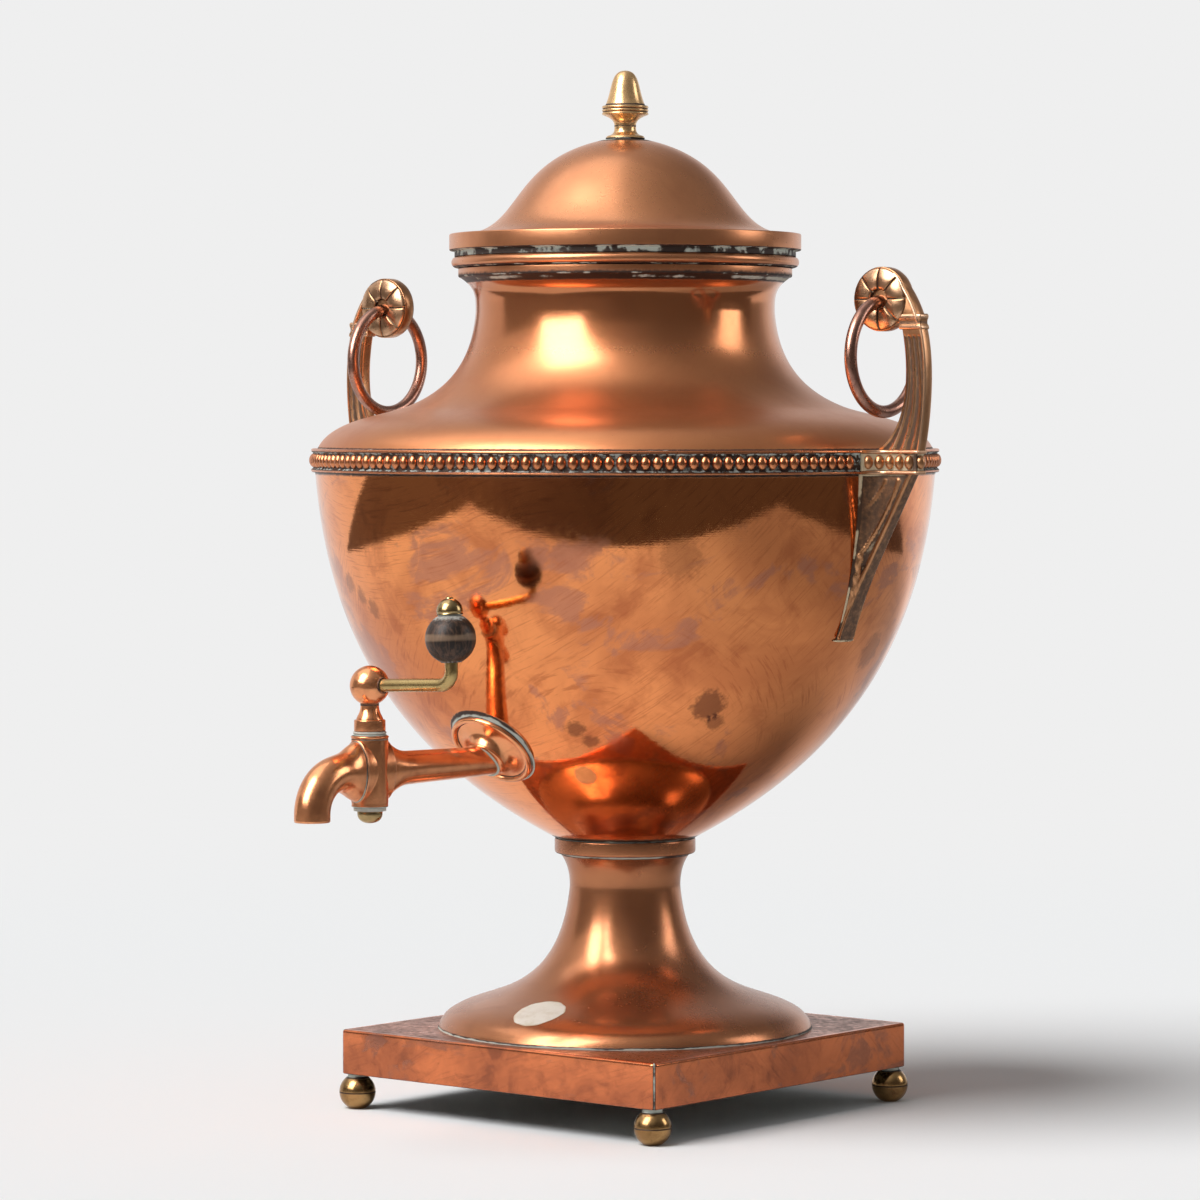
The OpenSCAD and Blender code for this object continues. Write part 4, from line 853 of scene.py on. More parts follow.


# Levels are (half width, corner radius, height, deposit), from the open underside over the top and back inside; the
# deposit inside the hollow is painted shade
def makePlinth():
    wide, corner, edge = plinth["half"], plinth["corner"], plinth["edge"]
    low, high, sheet = urn["footTop"], urn["plinthTop"], urn["sheet"]
    levels = [(wide - sheet, corner - sheet, low, 0.5), (wide - 0.3, corner - 0.2, low, 0.5)]
    levels += [(wide, corner, low + 0.3, 0.35)]
    levels += [(wide, corner, z, 0.0) for z in np.linspace(low + 1.2, high - edge - 0.3, 8)]
    levels += [(wide - edge + edge * math.cos(a), max(corner - edge + edge * math.cos(a), 0.4),
                high - edge + edge * math.sin(a), 0.0) for a in np.radians([15, 30, 45, 60, 75, 90])]
    levels += [(wide - d, max(corner - d, 0.3), high, 0.42) for d in (2.5, 6.0, 14.0, 30.0, 50.0)]
    # Painted shade: the underside of the top sheet and the hollow's inner wall get a heavy dark deposit, so the
    # hollow under the plinth stays dark
    levels += [(wide - d, max(corner - d, 0.3), high - sheet, 0.95) for d in (50.0, 30.0, 6.0, sheet + 0.6, sheet)]
    levels += [(wide - sheet, corner - sheet, high - sheet - 1.5, 0.95)]
    rows, grime, straight = [], [], wide - corner
    base = squareRing(wide, corner)  # every level keeps this number of points
    for half, radius, z, amount in levels:
        scale, row, marks = (half - radius) / straight, [], []
        for x, y in base:
            ux, uy = max(-straight, min(straight, x)), max(-straight, min(straight, y))
            dx, dy = (x - ux) / corner, (y - uy) / corner
            row.append((ux * scale + dx * radius, uy * scale + dy * radius, z))
            onCorner = min(abs(dx), abs(dy)) > 0.2 and half > wide - 1.2
            marks.append(max(amount, min(0.85, 1.4 - 3.0 * abs(abs(dx) - abs(dy)))) if onCorner else amount)
        rows.append(row)
        grime.append(marks)
    made = lofted("plinth", rows, plinthCopper, grime, 40.0, endless=True)
    rideOn(made, "urn", "foot_copper", "plinth")


feet = {"ball": 7.9, "centre": 7.223, "flat": 3.2, "neck": 4.2, "stud": 2.0, "studTop": 26.0, "reach": 82.55}


def makeFeet():
    ball, z, reach, top = feet["ball"], feet["centre"], feet["reach"], urn["footTop"]
    outline = chain(
        [(0, 0), (feet["flat"], 0)], arc((0, z), ball, -63.5, -1.2, 22), [(ball - 0.18, z)],
        arc((0, z), ball, 1.2, 59, 22), [(feet["neck"] - 0.1, top - 1), (feet["neck"], top)],
        [(feet["stud"], top), (feet["stud"], feet["studTop"]), (0, feet["studTop"])])
    for name, x, y in (("FrontRight", 1, -1), ("FrontLeft", -1, -1), ("BackRight", 1, 1), ("BackLeft", -1, 1)):
        node = "foot_" + name.replace("Right", "_right").replace("Left", "_left").lower()
        place = Matrix.Translation((x * reach * mm, y * reach * mm, 0))
        foot = spun("foot" + name, outline, footBrass, [(7.2, 0.35, 0.75), (14.6, 1.6, 1.15)], 96, place)
        rideOn(foot, "urn", "foot_brass", node)


# Rows of closed loops in mm joined into a skin; open ends are capped
def lofted(name, rows, material, grime=None, sharp=38.0, endless=False):
    rows = np.array(rows, float)
    turns, count = rows.shape[:2]
    faces = []
    for k in range(turns if endless else turns - 1):
        low, high = k * count, (k + 1) % turns * count
        for i in range(count):
            j = (i + 1) % count
            faces.append([low + i, low + j, high + j, high + i])
    if not endless:
        faces += [list(range(count)), list(range((turns - 1) * count, turns * count))]
    if grime is not None:
        grime = np.array(grime, float).reshape(-1)
    return meshObject(name, rows.reshape(-1, 3) * mm, faces, material, grime, sharp)


def levelRow(loop, z):
    return np.column_stack([loop, np.full(len(loop), z)])


def uprightRow(line, y):
    return np.stack([line[:, 0], np.full(len(line), y), line[:, 1]], 1)


# Plate cut to a closed outline of (x, z), with rounded rims
def plateOf(name, outline, half, bevel, material, deposit=0.0):
    ahead, back = np.roll(outline, -1, 0), np.roll(outline, 1, 0)
    way = ahead - back
    way /= np.linalg.norm(way, axis=1)[:, None]
    inward = np.stack([-way[:, 1], way[:, 0]], 1)
    rows = []
    for y, inset in ((-half, bevel), (-half + 0.3 * bevel, 0.3 * bevel), (-half + bevel, 0.0),
                     (half - bevel, 0.0), (half - 0.3 * bevel, 0.3 * bevel), (half, bevel)):
        rows.append(uprightRow(outline + inward * inset, y))
    return lofted(name, rows, material, np.full(len(rows) * len(outline), deposit))


# Round wire along the edges of its host; each point's share of the girth is in "girth"
def makeWireTree():
    tree, g, given = newTree("roundWire", [
        ("Girth", "NodeSocketFloat"), ("Sides", "NodeSocketInt"), ("Metal", "NodeSocketMaterial")])
    share = g.node("GeometryNodeInputNamedAttribute", {"data_type": "FLOAT"}, {"Name": "girth"})
    line = g.node("GeometryNodeMeshToCurve", {}, {"Mesh": given["Geometry"]})
    ring = g.node("GeometryNodeCurvePrimitiveCircle", {"mode": "RADIUS"}, {
        "Resolution": given["Sides"], "Radius": 1.0})
    body = g.node("GeometryNodeCurveToMesh", {}, {
        "Curve": line, "Profile Curve": ring, "Scale": share * given["Girth"], "Fill Caps": True})
    endTree(g, body, given["Metal"])
    return tree


# Lines are (points in mm, closed, taper at the ends, deposit)
def wireAlong(name, lines, girth, material, sides=12):
    points, edges, share, grime = [], [], [], []
    for line, closed, taper, deposit in lines:
        line = np.array(line, float)
        first, count = len(points), len(line)
        points += [tuple(p * mm) for p in line]
        edges += [(first + i, first + i + 1) for i in range(count - 1)]
        if closed:
            edges.append((first + count - 1, first))
        ends = np.minimum(np.arange(count), np.arange(count)[::-1]) / max(1.0, taper * count)
        share += list(np.ones(count) if closed or not taper else np.sqrt(np.clip(ends, 0.04, 1.0)))
        grime += [deposit] * count
    host = bpy.data.meshes.new(name + "Path")
    host.from_pydata(points, edges, [])
    for label, values in (("girth", share), ("grime", grime)):
        layer = host.attributes.new(label, "FLOAT", "POINT")
        layer.data.foreach_set("value", np.array(values, np.float32))
    made = grown(name, wireTree, {"Girth": girth * mm, "Sides": sides, "Metal": material}, host)
    for label in ("girth", "radius"):
        layer = made.data.attributes.get(label)
        if layer is not None:
            made.data.attributes.remove(layer)
    return made


# Handles: x runs out from the bowl's edge, z up from the band's top
handle = {
    "thick": 5.4, "eye": (4.6, 62.6), "headRadius": 13.4, "padOut": 24.0, "padRoot": 1.7, "padHigh": 10.2,
    "rootWide": 21.0, "rootReach": 7.0, "legLong": 69.2, "legTip": 1.8, "legTipWide": 9.4, "veinsMeet": -43.9,
    "fluteDepth": 0.6, "fluteTop": 47.7, "ridgeRise": 0.12, "beadWide": 4.4, "beadHigh": 6.0, "beadPitch": 4.93,
    "petals": 8, "rosetteRadius": 13.0, "holeRadius": 4.2, "wire": 2.65, "ringRadius": 23.0,
}
eye = np.array(handle["eye"])
strapOuter = bezier((24.9, 52.2), (28.9, 40.0), (28.6, 20.0), (24.6, 0.0), 60)
strapInner = bezier((15.1, 52.2), (19.1, 36.0), (20.1, 9.6), (3.2, 0.0), 60)
strapRidges = [
    ([0, 3.5, 8.8, 16.6, 23.9, 31.3, 38.1, 46.4], [10.6, 12.5, 15.1, 17.6, 18.8, 19.2, 18.8, 17.9]),
    ([0, 3.9, 8.8, 16.6, 23.9, 31.2, 38.1, 47.1], [16.0, 17.7, 19.4, 21.2, 22.1, 22.2, 21.5, 20.5]),
    ([0, 3.9, 8.8, 16.6, 23.9, 31.2, 38.1, 47.5], [21.0, 22.2, 23.5, 24.9, 25.2, 24.9, 24.1, 22.9]),
]
headEdge = bezier((24.9, 52.2), (23.2, 58.2), eye + polar(handle["headRadius"], 58) + polar(7, -34),
                  eye + polar(handle["headRadius"] - 0.8, 68), 30)


def atHeight(line, z):
    order = np.argsort(line[:, 1])
    return np.interp(z, line[order, 1], line[order, 0])


def wallAt(z):
    return bowlRadiusAt(min(urn["bandBottom"], urn["bandTop"] + z)) - urn["bowlRadius"]


# Half of a loop in plan, from the outer edge's middle to the wall, spreading to a root
def flankOf(x, wall, half, wide, level=12, spread=14, corner=0.9):
    reach = min(handle["rootReach"], (x - wall) * 0.9)
    c = min(corner, (x - wall) * 0.3)
    points = [(x, half * f) for f in (0.0, 0.35, 0.6)]
    points += [(x - c + c * math.cos(a), half - c + c * math.sin(a)) for a in np.radians([5, 30, 60, 85])]
    points += [(x - c + (wall + reach - x + c) * f, half) for f in np.linspace(0.06, 1, level)]
    points += [(wall + reach * (1 - math.sin(a)), half + (wide - half) * (1 - math.cos(a)))
               for a in np.linspace(0, math.pi / 2, spread + 1)[1:]]
    points += [(wall - 1.2, wide)]
    return np.array(points)


def bothFlanks(half):
    other = half[::-1] * (1, -1)
    return np.vstack([half, other[:-1]])


# Reeded strap from the head down to the pad: three ridges part four flutes, which end round at the top
def strapRows():
    rows, grime = [], []
    deep, top = handle["fluteDepth"], handle["thick"] / 2
    heights = np.concatenate([np.linspace(51.6, 45.5, 22), np.linspace(45.0, 8.0, 50), np.linspace(7.5, -0.6, 24)])
    for z in heights:
        level = max(z, 0.0)
        low, high = atHeight(strapInner, level), atHeight(strapOuter, level) - 0.06
        ridges = [float(np.polyval(np.polyfit(*ridge, 4), level)) for ridge in strapRidges]
        stops = [low + 0.55, *ridges, high - 0.9]
        flutes = len(stops) - 1
        near = [(low, 0.0), (low, top * 0.6), (low + 0.1, top - 0.5), (low + 0.28, top - 0.18)]
        marks = [0.1, 0, -0.2, -0.4]
        for k in range(flutes):
            for u in np.linspace(0, 1, 9)[(1 if k else 0):]:
                end = handle["fluteTop"] - 1.5 * (1 - math.sqrt(max(0.0, 1 - (2 * u - 1) ** 2)))
                cut = min(1.0, max(0.0, (end - z) / 0.9))
                hollow = math.sin(math.pi * u) ** 0.8 if 0 < u < 1 else 0.0
                ridge = max(0.0, 1 - min(u, 1 - u) * 6.0) * (1 if 0 < k + u < flutes else 0)
                near.append((stops[k] + (stops[k + 1] - stops[k]) * u,
                             top - cut * (deep * hollow - handle["ridgeRise"] * ridge)))
                marks.append(cut * (0.62 * hollow - 0.85 * ridge))
        near += [(high - 0.4, top - 0.06), (high - 0.12, top - 0.3), (high - 0.02, top - 0.8), (high, 0.0)]
        marks += [-0.5, -0.7, -0.2, 0.0]
        near = np.array(near)
        loop = np.vstack([near * (1, -1), near[-2:0:-1]])
        rows.append(levelRow(loop, z))
        grime.append(marks + marks[-2:0:-1])
    return rows, grime


def nearTo(points, line):
    return np.min(np.hypot(points[:, None, 0] - line[None, :, 0], points[:, None, 1] - line[None, :, 1]), 1)


def softStep(value, low, high):
    t = np.clip((value - low) / (high - low), 0.0, 1.0)
    return t * t * (3 - 2 * t)


# Leg down the bowl's wall, with two veins, a rib at its foot and a sunk leaf field between them
def legRows():
    long, top, meet = handle["legLong"], -handle["padHigh"], handle["veinsMeet"]
    tipWall = wallAt(top - long)
    outer = bezier((handle["padOut"] - 2.6, top + 0.8), (handle["padOut"] - 16.5, top - 25.8),
                   (tipWall + handle["legTip"] + 5, top - long + 17.4), (tipWall + handle["legTip"], top - long), 80)
    veinOne = bezier((8, top - 2.2), (6.4, top - 5.4), (2.6, top - 10.4), (-0.4, top - 14.7), 30)
    veinTwo = bezier((14.4, top - 2.2), (12.2, top - 10.4), (4, top - 22.4), (wallAt(meet) + 1.0, meet), 50)
    rib = np.array([(wallAt(z) + 1.3 + 0.25 * math.sin(k), z)
                    for k, z in enumerate(np.linspace(meet, top - long + 1, 40))])
    rows, grime = [], []
    heights = [np.linspace(top + 0.8, -46, 80), np.linspace(-46.4, top - long, 84), [top - long - 0.5]]
    for z in np.concatenate(heights):
        share = min(1.0, max(0.0, (top + 0.8 - z) / (long + 0.8)))
        wall, x = wallAt(max(z, top - long)), float(atHeight(outer, max(z, top - long)))
        half = handle["thick"] / 2 + (handle["legTipWide"] - handle["thick"]) / 2 * share ** 2
        wide = (handle["rootWide"] + (handle["legTipWide"] + 1 - handle["rootWide"]) * share) / 2
        if z < top - long:
            x, half, wide = x - 0.9, half - 0.8, wide - 0.8
        side = flankOf(x, wall, half, wide)
        flat = np.stack([side[:, 0], np.full(len(side), z)], 1)
        way = np.gradient(side, axis=0)
        normal = np.stack([-way[:, 1], way[:, 0]], 1) / (np.linalg.norm(way, axis=1)[:, None] + 1e-9)
        normal *= np.where(normal[:, 1:] < 0, -1, 1)
        one, two, low = nearTo(flat, veinOne), nearTo(flat, veinTwo), nearTo(flat, rib)
        fade = softStep(z, top - 14.7, top - 9) if z < top - 9 else 1.0
        edge = x - side[:, 0]
        raised = 0.55 * np.clip(1 - (one / 0.65) ** 2, 0, 1) * fade + 0.65 * np.clip(1 - (two / 0.75) ** 2, 0, 1)
        raised += 0.55 * np.clip(1 - (low / 0.9) ** 2, 0, 1)
        outerRib = np.clip(1 - ((edge - 1.3) / 1.1) ** 2, 0, 1)
        raised = np.maximum(raised, 0.35 * outerRib)
        veinX = float(atHeight(veinTwo, z)) if z > meet else wall + 1.3
        inField = softStep(side[:, 0], veinX + 0.4, veinX + 1.6) * softStep(edge, 1.8, 3.0)
        toe = softStep(z, -63.6, -61.8)
        sunk = 0.35 * inField * toe
        notch = -48.3 + 1.1 * np.cos((side[:, 0] - (veinX + x) / 2) * 1.3)
        sunk = sunk + 0.8 * inField * softStep(notch - z, 0.0, 0.9) * toe
        onSide = (edge > 0.15) & (side[:, 0] > wall + 0.2)
        if z > top - long:
            side = side + normal * np.where(onSide, raised - sunk, 0.0)[:, None]
        marks = np.where(onSide, -1.1 * np.clip(raised * 2.0, 0, 1) + 0.5 + 0.4 * np.clip(sunk * 1.4, 0, 1), 0.5)
        marks = np.maximum(marks, 0.95 * np.clip(1.25 - (side[:, 0] - wall) / 0.4, 0, 1) * (side[:, 1] > half * 0.9))
        marks = np.maximum(marks, 1.0 * np.clip(1 - (top - z) / 2.4, 0, 1) * (edge > 1.5))
        rows.append(levelRow(bothFlanks(side), z))
        grime.append(np.concatenate([marks, marks[::-1][:-1]]))
    return rows, grime


def padFlank(out, grow):
    return flankOf(handle["padOut"] + out, handle["padRoot"], handle["thick"] / 2 + grow,
                   handle["rootWide"] / 2 + grow, 16, 20, 0.7)


# The pad's profile is (height, growth sideways, growth outwards, deposit), with two mouldings and a hollow
def padRows():
    rows, grime = [], []
    profile = [
        (-handle["padHigh"], 0.35, -0.3, 0.3), (-10.0, 0.72, 0, -0.3), (-9.6, 0.95, 0.1, -0.7),
        (-9.1, 0.9, 0.1, -0.6), (-8.7, 0.6, 0, 0.2), (-8.4, 0.1, -0.5, 1.1), (-7.8, 0, -0.6, 1.05),
        (-6.5, 0, -0.6, 0.95), (-4.5, 0, -0.6, 0.9), (-3.0, 0, -0.6, 0.95), (-2.1, 0, -0.6, 1.1),
        (-1.7, 0.1, -0.4, 1.1), (-1.45, 0.6, 0.3, 0.2), (-1.15, 0.92, 0.6, -0.6), (-0.7, 1.0, 0.65, -0.8),
        (-0.25, 0.8, 0.55, -0.6), (0.0, 0.35, 0.2, 0.1)]
    for z, grow, out, mark in profile:
        side = padFlank(out, grow)
        rows.append(levelRow(bothFlanks(side), z))
        corner = np.clip((side[:, 1] - 6.5) / 3.0, 0, 1) * 0.5
        grime.append(np.concatenate([mark + corner, (mark + corner)[::-1][:-1]]))
    return rows, grime


# Beads on the points of a host mesh
def makeBeadTree():
    tree, g, given = newTree("padBeads", [
        ("Width", "NodeSocketFloat"), ("Height", "NodeSocketFloat"), ("Seed", "NodeSocketInt"),
        ("Metal", "NodeSocketMaterial")])
    bead = g.node("GeometryNodeMeshUVSphere", {}, {"Segments": 20, "Rings": 12, "Radius": 0.5})
    size = g.node("ShaderNodeCombineXYZ", {}, {"X": given["Width"], "Y": given["Width"], "Z": given["Height"]})
    vary = g.node("FunctionNodeRandomValue", {"data_type": "FLOAT_VECTOR"}, {
        0: (0.95, 0.95, 0.95), 1: (1.02, 1.02, 1.03), "Seed": given["Seed"]})
    size = g.node("ShaderNodeVectorMath", {"operation": "MULTIPLY"}, [size, vary])
    row = g.node("GeometryNodeInstanceOnPoints", {}, {"Points": given["Geometry"], "Instance": bead, "Scale": size})
    endTree(g, row, given["Metal"])
    return tree


def padBeads(name):
    side, level = padFlank(-0.6, 0.0)[7:-1], -handle["padHigh"] / 2
    steps = np.concatenate([[0], np.cumsum(np.hypot(*np.diff(side, axis=0).T))])
    spots = []
    for k in range(5):
        along = 2.1 + k * handle["beadPitch"]
        x, y = np.interp(along, steps, side[:, 0]), np.interp(along, steps, side[:, 1])
        spots += [(x, y, level), (x, -y, level)]
    spots.append((handle["padOut"] - 0.6, 0.0, level))
    host = bpy.data.meshes.new(name + "Spots")
    host.from_pydata([tuple(np.array(p) * mm) for p in spots], [], [])
    return grown(name, beadTree, {"Width": handle["beadWide"] * mm, "Height": handle["beadHigh"] * mm, "Seed": 3,
                                  "Metal": bracketBronze}, host)


# The head's plate, the rib along its edge, and the step where the strap enters it
def headParts(name):
    ring = np.array([eye + polar(handle["headRadius"], a) for a in np.linspace(70, 312, 60)])
    away = np.hypot(*(headEdge - eye).T)
    edge = eye + (headEdge - eye) * np.maximum(1.0, handle["headRadius"] / away)[:, None]
    outline = chain(ring, [(14.9, 52.3), (14.9, 50.6), (25.3, 50.6)], edge[:-1])
    plate = plateOf(name + "Head", outline, handle["thick"] / 2, 0.45, bracketBronze, 0.12)
    inside, face = beside(edge, 0.95), handle["thick"] / 2 + 0.02
    lines = [(uprightRow(inside, y), False, 0.12, -1.0) for y in (-face, face)]
    rib = wireAlong(name + "Rib", lines, 0.72, bracketBronze, 14)
    rows, grime = [], []
    profile = [
        (49.9, 0.0, 0.7), (50.1, 0.25, -0.3), (50.7, 0.4, -0.8), (51.5, 0.34, -0.3), (52.2, 0.14, 0.5),
        (53.1, 0.1, 0.5), (53.9, 0.2, 0.0), (54.5, 0.4, -0.6), (55.3, 0.5, -0.9), (56.0, 0.36, -0.5),
        (56.35, 0.05, 0.6)]
    for z, grow, mark in profile:
        low = 14.6 - grow * 0.9 - (z - 50) * 0.12
        high = float(atHeight(strapOuter, min(z, 52.2))) + 0.1 + grow
        half, c = handle["thick"] / 2 + grow, 0.6
        between = [(high - c + (low - high + 2 * c) * f, half) for f in np.linspace(0.15, 0.85, 6)]
        side = np.vstack([arc((high - c, half - c), c, 0, 90, 5), between, arc((low + c, half - c), c, 90, 180, 5)])
        loop = np.vstack([side, side[::-1] * (1, -1)])
        rows.append(levelRow(loop, z))
        grime.append([mark] * len(loop))
    step = lofted(name + "Step", rows, bracketBronze, grime, 60.0)
    return [plate, rib, step]


# Puts a piece made in the handle's frame on the right or left of the bowl
def onHandle(piece, side):
    mesh = piece.data
    for vertex in mesh.vertices:
        x, y, z = vertex.co
        vertex.co = (side * (x + urn["bowlRadius"] * mm), y, z + urn["bandTop"] * mm)
    if side < 0:
        mesh.flip_normals()
    return piece


def makeHandle(side):
    word = "Right" if side > 0 else "Left"
    node = word.lower()
    rows, grime = strapRows()
    parts = [lofted("strap", rows, bracketBronze, grime, 50.0)]
    rows, grime = legRows()
    parts.append(lofted("leg", rows, bracketBronze, grime, 46.0))
    rows, grime = padRows()
    parts.append(lofted("pad", rows, bracketBronze, grime, 60.0))
    parts += headParts("bracket")
    tip = -handle["padHigh"] - handle["legLong"]
    wall = wallAt(tip)
    solder = [(wall + 0.15 + 0.5 * math.cos(a) - 0.012 * y * y, y, tip - 0.55) for a, y in
              zip(np.linspace(-1, 1, 17), np.linspace(-7.2, 7.2, 17))]
    parts.append(wireAlong("bracketSolder", [(solder, False, 0.2, 1.35)], 0.62, bracketBronze, 10))
    parts.append(padBeads("bracketBeads"))
    bracket = joined("bracket" + word, parts)
    rideOn(onHandle(bracket, side), "urn", "bracket_bronze", "bracket_" + node)
    rideOn(onHandle(makeRosette("rosette" + word), side), "urn", "rosette_bronze", "rosette_" + node)
    turns, radius = turnsOf(128), handle["ringRadius"]
    low = eye[1] - (handle["holeRadius"] - handle["wire"] - 0.8) - radius
    loop = np.stack([np.full(len(turns), eye[0]), radius * np.cos(turns), low + radius * np.sin(turns)], 1)
    ring = wireAlong("ring" + word, [(loop, True, 0, 0.0)], handle["wire"], ringCopper, 28)
    rideOn(onHandle(ring, side), "ring_" + node, "ring_copper", "ring_" + node)


# Petals with V-shaped grooves between them, on both faces of the head; petal is half of one's angle in degrees
def makeRosette(name):
    top, reach, hole = handle["thick"] / 2, handle["rosetteRadius"], handle["holeRadius"]
    radii = [hole + 0.02, hole + 0.25, *np.linspace(hole + 0.7, reach - 0.7, 17), reach - 0.3, reach - 0.06]
    rows, grime, petal = [], [], 180 / handle["petals"]
    for turn in np.linspace(0, 360, 289)[:-1]:
        away = abs((turn + petal) % (2 * petal) - petal)
        side, marks = [], []
        for r in radii:
            f = (r - hole) / (reach - hole)
            rise = 1.55 + 0.45 * math.sin(math.pi * min(1.0, f * 0.95 + 0.12)) - 0.95 * f ** 3
            rise = rise - 0.35 * max(0.0, 1 - (r - hole) / 0.5) - 0.45 * max(0.0, 1 - (reach - r) / 0.5)
            cut = r * math.radians(away)
            groove = max(0.0, 1 - cut / 0.62)
            crown = 0.30 * (1 - (away / petal - 1) ** 2) * math.sin(math.pi * min(1, max(0.0, f)) * 0.9)
            rim = max(0.0, 1 - abs(reach - 0.9 - r) / 0.6)
            side.append((r - 0.22 * groove * (f > 0.97), top + rise + crown - 0.5 * groove ** 1.3 * (1 - 0.3 * f)))
            marks.append(1.15 * groove ** 1.5 - 0.3 * (1 - groove) * min(1, away / 12)
                         - 0.35 * rim * (1 - groove) + 0.8 * max(0.0, 1 - (r - hole) / 0.5))
        profile = [(hole, 0.5 - top)] + [(r, -y) for r, y in side]
        profile += [(reach, -top - 0.55), (reach, -top), (reach, top), (reach, top + 0.55)]
        profile += side[::-1] + [(hole, top - 0.5)]
        a = math.radians(turn)
        rows.append([(eye[0] + r * math.cos(a), y, eye[1] + r * math.sin(a)) for r, y in profile])
        grime.append([0.9] + marks + [0.2, 0.9, 0.9, 0.2] + marks[::-1] + [0.9])
    return lofted(name, rows, rosetteBronze, grime, 40.0, endless=True)


# Tap: y runs out from the plug's axis along the spout, z from the bore
tap = {
    "plugY": -164.532, "bore": 155.5, "barrel": 7.6, "barrelHigh": 30.2, "flare": 12.1, "flat": 0.54, "rim": 0.7,
    "lipEnd": 8.9, "grooveAt": 8.75, "seam": (6.44525, 12.0), "seamAway": 8.45, "sides": 64, "shank": 5.95,
    "shankRoot": 7.0, "spout": 7.4, "spoutBore": 5.6, "bend": 16.2, "spoutOut": 34.5, "spoutDrop": 19.0,
    "plateY": -88.27, "plateZ": 160.454, "plateTilt": 132.753, "plate": 18.9, "plateNeck": 8.8, "plateHigh": 7.0,
    "plateHole": 6.5,
    "ball": 8.2, "ballHigh": 19.8, "collar": 6.45, "neck": 3.8, "plugTip": 5.3, "washerHole": 5.35, "screw": 5.2,
}
lever = {"long": 47.2, "rise": 2.4, "rest": -3.0, "bend": 6.0, "rod": 2.7, "seat": 2.95, "gripHigh": 18.8,
         "grip": 10.3, "cap": 5.4, "capHigh": 7.0}
barrelLow, barrelTop = tap["bore"] - tap["barrelHigh"] / 2, tap["bore"] + tap["barrelHigh"] / 2
atPlug = Matrix.Translation((0, tap["plugY"] * mm, 0))
leverFrame = (Matrix.Translation((0, tap["plugY"] * mm, (barrelTop + tap["ballHigh"]) * mm))
              @ Matrix.Rotation(math.radians(lever["rest"]), 4, "Z")
              @ Matrix.Rotation(math.radians(-lever["rise"]), 4, "Y"))


def onLever(points):
    return [tuple(leverFrame @ (Vector(p) * mm) / mm) for p in points]


def ovalRow(centre, upward, wide, high):
    centre, across, up = np.array(centre), np.array((wide, 0, 0)), np.array(upward) * high
    return [centre + across * math.cos(a) + up * math.sin(a) for a in turnsOf(tap["sides"])]


def bell(value, middle, reach):
    return math.exp(-((value - middle) / reach) ** 2)


# Half width and half height of a flared end that sits on the barrel, by distance from the plug's axis
def flareAt(t, end, reach, shape):
    lipEnd, flat = tap["lipEnd"], tap["flat"] * tap["flare"]
    f = min(1.0, max(0.0, (t - lipEnd) / (reach - lipEnd)))
    high = end + (tap["flare"] - end) * (1 - f) ** shape
    wide = flat + (end - flat) * softStep(f, 0.0, 1.0)
    if t < lipEnd:
        lip = tap["rim"] * min(1.0, max(0.0, (lipEnd + 0.05 - t) / 0.55)) ** 0.5
        groove = 0.5 * bell(t, tap["grooveAt"], 0.28)
        high, wide = high + lip - groove, wide + lip - groove
    return wide, high


def flareMark(t, dark):
    return dark * bell(t, tap["grooveAt"], 0.35) - 0.6 * bell(t, tap["grooveAt"] - 0.5, 0.3)


# Line of dirt where a flared end meets the barrel
def flareSeam(name, away):
    wide, high = tap["seam"]
    loop = [(wide * math.cos(a), tap["plugY"] + away, tap["bore"] + high * math.sin(a))
            for a in turnsOf(tap["sides"])]
    return wireAlong(name, [(loop, True, 0, 0.95)], 0.3, tapCopper, 8)


def makeShank():
    rows, grime = [], []
    root, end, taperFrom = tap["shankRoot"], tap["plateY"] - tap["plugY"] + 3.5, 21
    for t in [*np.linspace(1.0, 7.8, 8), *np.linspace(8.0, 9.2, 13), *np.linspace(9.5, 24, 34),
              *np.linspace(25, end, 26)]:
        wide, high = flareAt(t, root, 23.0, 2.3)
        if t > taperFrom:
            f = (t - taperFrom) / (end - taperFrom)
            wide = high = root + (tap["shank"] - root) * min(1.0, f)
        rows.append(ovalRow((0, tap["plugY"] + t, tap["bore"]), (0, 0, 1), wide, high))
        grime.append([flareMark(t, 0.9)] * tap["sides"])
    body = lofted("shankBody", rows, tapCopper, grime, 50.0)
    seam = flareSeam("shankSeam", tap["seamAway"])
    rideOn(joined("tapShank", [body, seam]), "urn", "tap_copper", "tap_shank")


